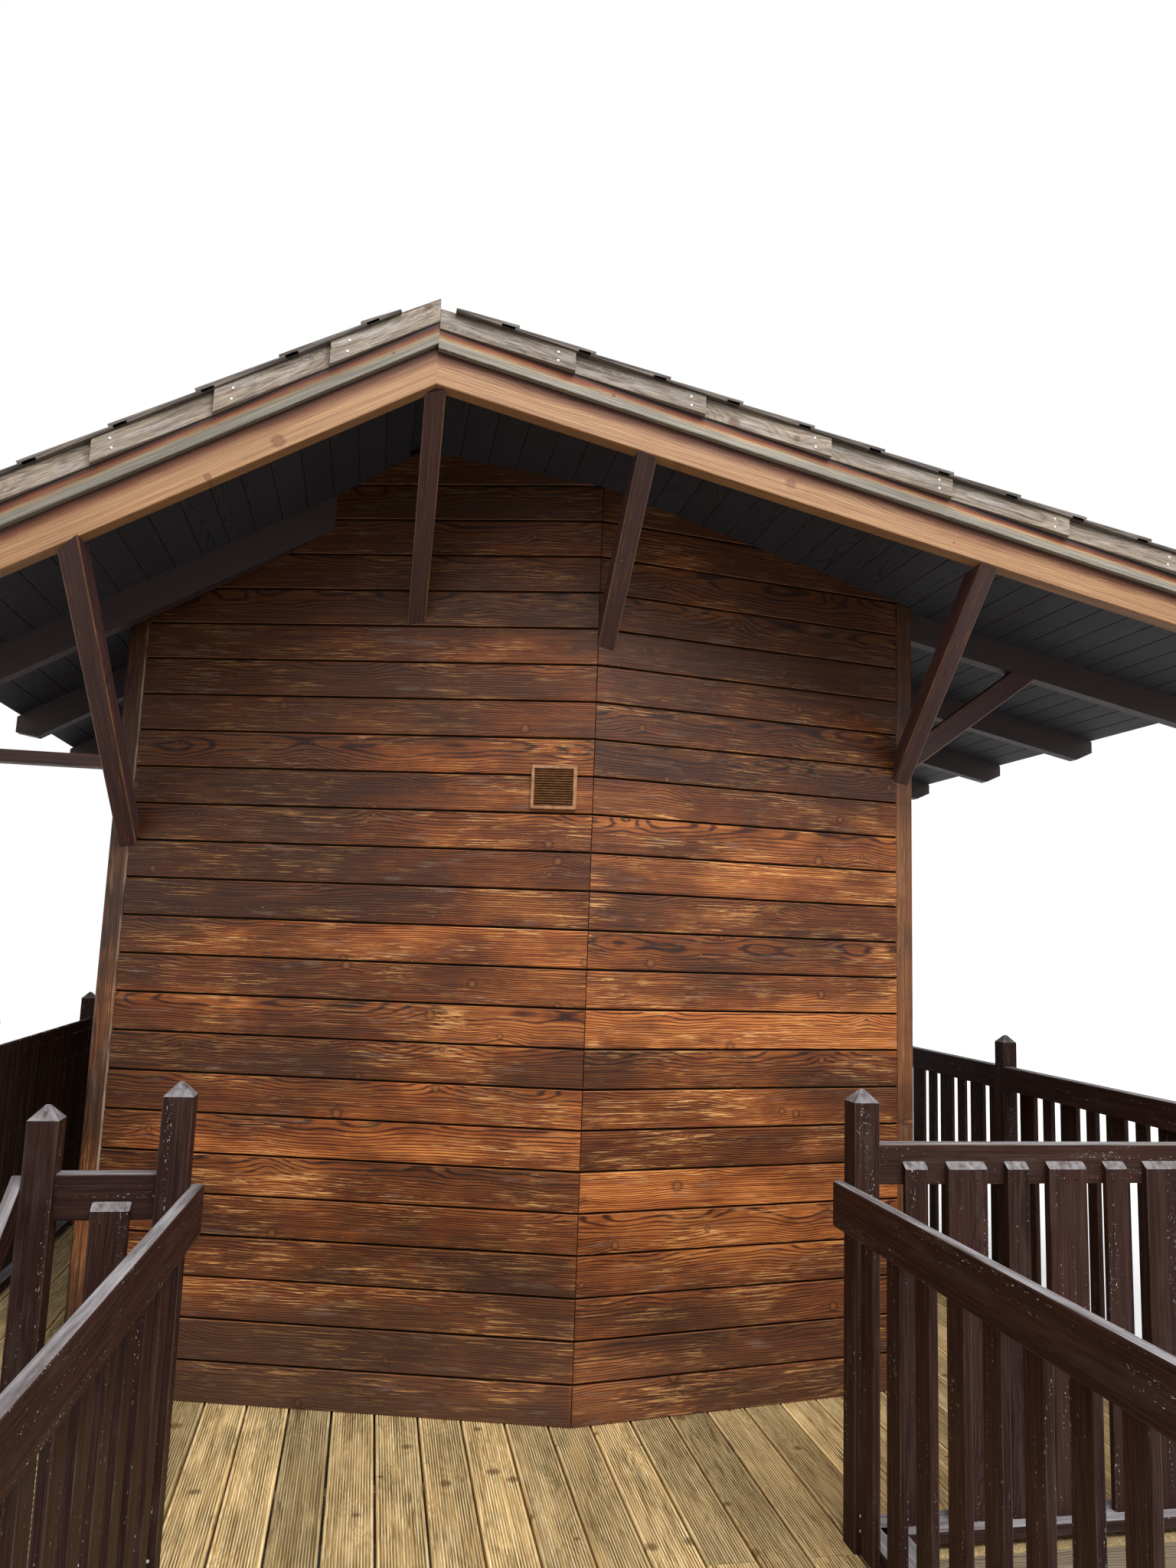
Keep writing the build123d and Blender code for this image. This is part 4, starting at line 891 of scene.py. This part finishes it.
# Stair: two treads of two pine boards 40 mm thick, housed between sawn stringers 45 mm thick
# that stand on the ground and end at the terrace
rise, going, tread_depth = deck_top / 3, 0.253, 0.29
tread_thickness, tread_gap, stringer, stringer_depth = 0.04, 0.0015, 0.045, 0.22
stair_left, stair_right, stair_foot = -2.6535, -1.8895, terrace_front - 3 * going
slope_rise = rise / going
crest = deck_top + (tread_depth - going) * slope_rise + 0.02
plumb = stringer_depth * (1 + slope_rise**2) ** 0.5
fall = unit(np.array((0, -going, -rise)))
outline = [
    (terrace_front, deck_top), (terrace_front - (crest - deck_top) / slope_rise, deck_top),
    (stair_foot, crest - 3 * going * slope_rise), (stair_foot, 0),
    (terrace_front - (crest - plumb) / slope_rise, 0), (terrace_front, crest - plumb),
]
parts = []
for x in (stair_left, stair_right - stringer):
    parts.append(skin([[[(x + w, y, z) for y, z in outline] for w in (0, stringer)]], fall, (1, 0, 0)))
for i in (1, 2):
    top = deck_top - rise * i
    for share in (1, 0.5):
        y = terrace_front - going * (i - 1) - tread_depth * share
        parts.append(boxes([(stair_left + stringer, y + tread_gap, top - tread_thickness)],
                           [(stair_right - stringer, y + tread_depth / 2 - tread_gap, top)]))
make("stair_sawn", parts, "stair", "deck_boards", deck_wood)

# Railings: pine, brush-painted dark brown in two coats. Posts 80 x 80 with pointed tops, deep
# rails and sills between them, and upright boards with bevelled tops
# Dark paint with a soft shine: rubbed edges and chips show pale, and faces that look up, the
# posts' points among them, are paler grey, partly bleached and partly a painted reflection of the sky
rail_paint = timber(
    "brushed_brown_rail_paint", "#150a08 #251512 #331e19 #462d26",
    roughness=0.55, relief=0.0004, rings=0.15, spread=0.25, haze=("#4a3d36", 0.5, 0.78),
    specks=("#e3ddd4", 0.66, 0.95), edges=("#6f5c54", 0, 0.5), tops=("#a29fa2", 0.15, 0.95), gloss=0.12,
)
post_side, post_point, post_tip, post_round = 0.08, 0.036, 0.012, 0.004
post_half, post_top = post_side / 2, deck_top + 1.245
baluster_thickness, sill_low, sill_high = 0.024, 0.031, 0.065
left_x, right_x, front_y, back_y = -2.6935, 2.2865, -1.97, 3.93
side_y = (front_y, 0.253, 2.0915, back_y)
back_x = np.linspace(left_x, right_x, 4)
gates = {"left": (-1.5165, front_y), "right": (0.4565, front_y)}
free_ends = {"left": (-1.5995, -3.93), "right": (0.4565, -3.93)}
second_post = (-1.8495, front_y)


def pointed_posts(places, foot, top):
    """Square posts with rounded edges: the plan is carried up from foot to top and on to a tip
    that is smaller by the share post_tip / post_side."""
    places = np.atleast_2d(places)
    shares = np.array((1, 1, post_tip / post_side))
    rings = np.zeros((len(places), 3, 12, 3))
    rings[..., :2] = places[:, None, None] + shares[:, None, None] * rounded(post_half, post_round)
    rings[..., 2] = np.array((foot, top, top + post_point))[:, None]
    return skin(rings, up, (1, 0, 0), np.tile((0, 1, 0), 4))


painted_screws = []
all_posts = [*gates.values(), *free_ends.values()]
all_posts += [(x, y) for x in (left_x, right_x) for y in side_y] + [(x, back_y) for x in back_x[1:-1]]
parts = [pointed_posts(all_posts, deck_top, post_top), pointed_posts(second_post, deck_top, post_top - 0.064)]
make("railing_posts_pointed", parts, "railing_posts", "rail_paint", rail_paint)


def spread(span, first, pitch, shift=0.0):
    """Places of evenly spread boards, about a first distance from both ends of a span."""
    count = round((span - 2 * first) / pitch) + 1
    step = (span - 2 * first) / max(1, count - 1)
    return span / 2 + shift + step * (np.arange(count) - (count - 1) / 2)


def bay(start, end, boards, places, widths, setback, high, foot=0.02):
    """One railing bay. boards are (first, last, nearest, furthest, low, high): along the bay, out
    from the posts' centre line and up from the deck. The upright boards stand a setback out, their
    tops sawn down outwards by 20 mm over their thickness, with two screws near the top."""
    along = unit(np.array((*np.subtract(end, start), 0)))
    outward = np.array((along[1], -along[0], 0))
    base = np.array((*start, deck_top))
    first, last, near, far, low, top = np.array(boards).T
    origin = base + near[:, None] * outward + low[:, None] * up
    parts = [planks(origin, along, outward, up, far - near, top - low, first, last, radius=0.005)]
    widths = np.resize(widths, len(places))
    origin = base + (places - widths / 2)[:, None] * along + setback * outward + foot * up
    slope = (base + setback * outward + high * up, (*outward[:2] * 0.02, baluster_thickness))
    parts.append(planks(origin, up, along, outward, widths, baluster_thickness, 0, [slope], radius=0.004))
    for offset in (-0.22, 0.22):
        screw_points = base + (places + widths * offset)[:, None] * along
        screw_points = screw_points + (setback + baluster_thickness) * outward + (high - 0.05) * up
        painted_screws.extend((point, outward) for point in screw_points)
    return parts


def terrace_bay(start, end, top=1.122, shy=0.05, widths=(0.073, 0.128), shift=0.0, short=(0, 0), proud=0.0):
    """A bay between two post centres: a rail, with the upright boards outside it, and a sill that
    may stand proud of its usual place and stop short of the posts."""
    span = np.hypot(*np.subtract(end, start))
    boards = [
        (post_half, span - post_half, -post_half, post_half - baluster_thickness, top - 0.118, top),
        (post_half + short[0], span - post_half - short[1], proud - 0.104, proud + 0.016, sill_low, sill_high),
    ]
    foot = sill_high if proud else 0.02
    return bay(start, end, boards, spread(span, 0.16, 0.17, shift), widths, 0.016, top - shy, foot)


sill_short = 0.065
for side, x, turn in (("right", right_x, 1), ("left", left_x, -1)):
    parts = []
    for low, high in zip(side_y[:-1], side_y[1:]):
        parts += terrace_bay(*((x, low), (x, high))[::turn])
    make(f"{side}_side_railing_boards", parts, f"{side}_side_railing", "rail_paint", rail_paint)
parts = terrace_bay(gates["right"], (right_x, front_y), short=(0, sill_short), proud=0.064)
parts += terrace_bay(second_post, gates["left"], top=1.042, shy=0.07, widths=(0.098,), shift=0.019)
make("front_railing_boards", parts, "front_railings", "rail_paint", rail_paint)
parts = []
for low, high, short in zip(back_x[:-1], back_x[1:], ((0, sill_short), (0, 0), (sill_short, 0))):
    parts += terrace_bay((high, back_y), (low, back_y), short=short[::-1])
make("back_railing_boards", parts, "back_railing", "rail_paint", rail_paint)

for side, turn in (("left", -1), ("right", 1)):
    ends = (free_ends[side], gates[side])[::turn]
    span = np.hypot(*np.subtract(*ends))
    boards = [
        (-post_half, span + post_half, -0.074, -0.04, 0.873, 1.005),
        (post_half, span - post_half, -0.016, 0.104, sill_low, sill_high),
    ]
    parts = bay(*ends, boards, spread(span, 0.155, 0.165, 0.035), (0.082,), -0.04, 0.955)
    make(f"{side}_walkway_railing_boards", parts, f"{side}_walkway_railing", "rail_paint", rail_paint)

# Stair rail: a sloping board 34 x 110 from the second post down to a pointed newel on the
# ground, painted like the railings
newel_y, newel_top = stair_foot + 0.13, 1.18
stair_rail, stair_rail_depth = 0.034, 0.11
rail_head = np.array((stair_right - stair_rail, front_y, deck_top + 1.036 - stair_rail_depth))
parts = [
    pointed_posts((second_post[0], newel_y), 0, newel_top),
    planks(rail_head, fall, (1, 0, 0), up, stair_rail, stair_rail_depth,
           [((0, front_y, 0), (0, -1, 0))], [((0, newel_y - post_half, 0), (0, -1, 0))], radius=0.005),
]
make("stair_railing_boards", parts, "stair_railing", "rail_paint", rail_paint)

# Reed screen: dark reeds 4 to 7 mm thick on the inner side of the left railing, wired together,
# standing on the sill
# Smoked reed is nearly black with pale streaks along the stems, partly wear and partly painted glints, and its
# cut tops are paler, partly bleached and partly a painted highlight
reed_skin = timber(
    "smoked_reed", "#1d1411 #35251f #4b362b #8a735c", (0.2, 0.45, 0.62, 0.85),
    roughness=0.5, relief=0.0003, rings=0.1, spread=0.5, streaks=("#b09c84", 0.6, 0.7),
    tops=("#a08c70", 0.3, 0.9),
)
reed_count, reed_height, wire = 1050, 1.14, 0.0015
reed_y = np.linspace(-1.927, 3.927, reed_count) + rng.uniform(-0.001, 0.001, reed_count)
reed_radius = rng.uniform(0.002, 0.0035, reed_count)[:, None, None]
reed_x = -2.6475 + rng.uniform(-0.0015, 0.0015, reed_count)
reed_top = deck_top + reed_height - rng.uniform(0, 0.02, reed_count) ** 1.2
turns = np.arange(6) / 6 * 2 * pi
reeds = np.zeros((reed_count, 2, 6, 3))
reeds[..., 0] = reed_x[:, None, None] + reed_radius * np.cos(turns)
reeds[..., 1] = reed_y[:, None, None] + reed_radius * np.sin(turns)
reeds[:, 0, :, 2] = deck_top + sill_high
reeds[:, 1, :, 2] = reed_top[:, None]
wire_levels = deck_top + np.array((0.2, 0.45, 0.7, 0.95, 1.08))
wires = boxes([(-2.6505, -1.93, level) for level in wire_levels],
              [(-2.6445, back_y, level + wire) for level in wire_levels], radius=0.0005)
make("reed_screen_reeds", [skin(reeds, up, (1, 0, 0)), wires], "reed_screen", "reed", reed_skin)

# Screws: flat zinc-plated heads 8 and 9 mm across, two or four to a fixing, let in nearly flush,
# those of the railings painted over
plating = bpy.data.materials.new("zinc_plated_steel")
tree = bare_tree(plating)
# Zinc plating has a fine crystal bloom, which dulls its shine unevenly
spangle = node(tree, "TexNoise", {"Vector": node(tree, "TexCoord", output="Object"), "Scale": 600, "Detail": 2})
node(tree, "OutputMaterial", [node(tree, "BsdfPrincipled", {
    "Base Color": node(tree, "ValToRGB", [spangle], stops=[(0.3, "#b4b4b0"), (0.7, "#e6e6e2")]),
    "Roughness": 0.45,
    "Metallic": 0.3,
})])
for x, y in all_posts[:4]:
    for dx, dz in ((-0.02, 0.06), (0.02, 0.06), (-0.02, 0.1), (0.02, 0.1)):
        screw_places.append(((x + dx, y - post_half, deck_top + dz), (0, -1, 0)))


def screw_heads(places, size):
    """Flat round heads: rings of eight points about each place, two of them of the full size and
    the last one smaller and further out, to make a rounded rim."""
    centres, facing = (np.array(column, float) for column in zip(*places))
    sideways = np.cross(facing, up)
    sideways /= np.linalg.norm(sideways, axis=1, keepdims=True)
    upwards = np.cross(sideways, facing)
    turns = (np.arange(8) / 8 * 2 * pi)[:, None]
    around = np.cos(turns) * sideways[:, None] + np.sin(turns) * upwards[:, None]
    rings = [centres[:, None] + lift * facing[:, None] + radius * around
             for lift, radius in ((-0.002, size), (0.0008, size), (0.0016, size * 0.66))]
    return skin(np.stack(rings, 1), facing, upwards)


make("screw_heads_bare", [screw_heads(screw_places, 0.0045)], "", "vent_metal", plating)
make("screw_heads_painted", [screw_heads(painted_screws, 0.004)], "", "rail_paint", rail_paint)
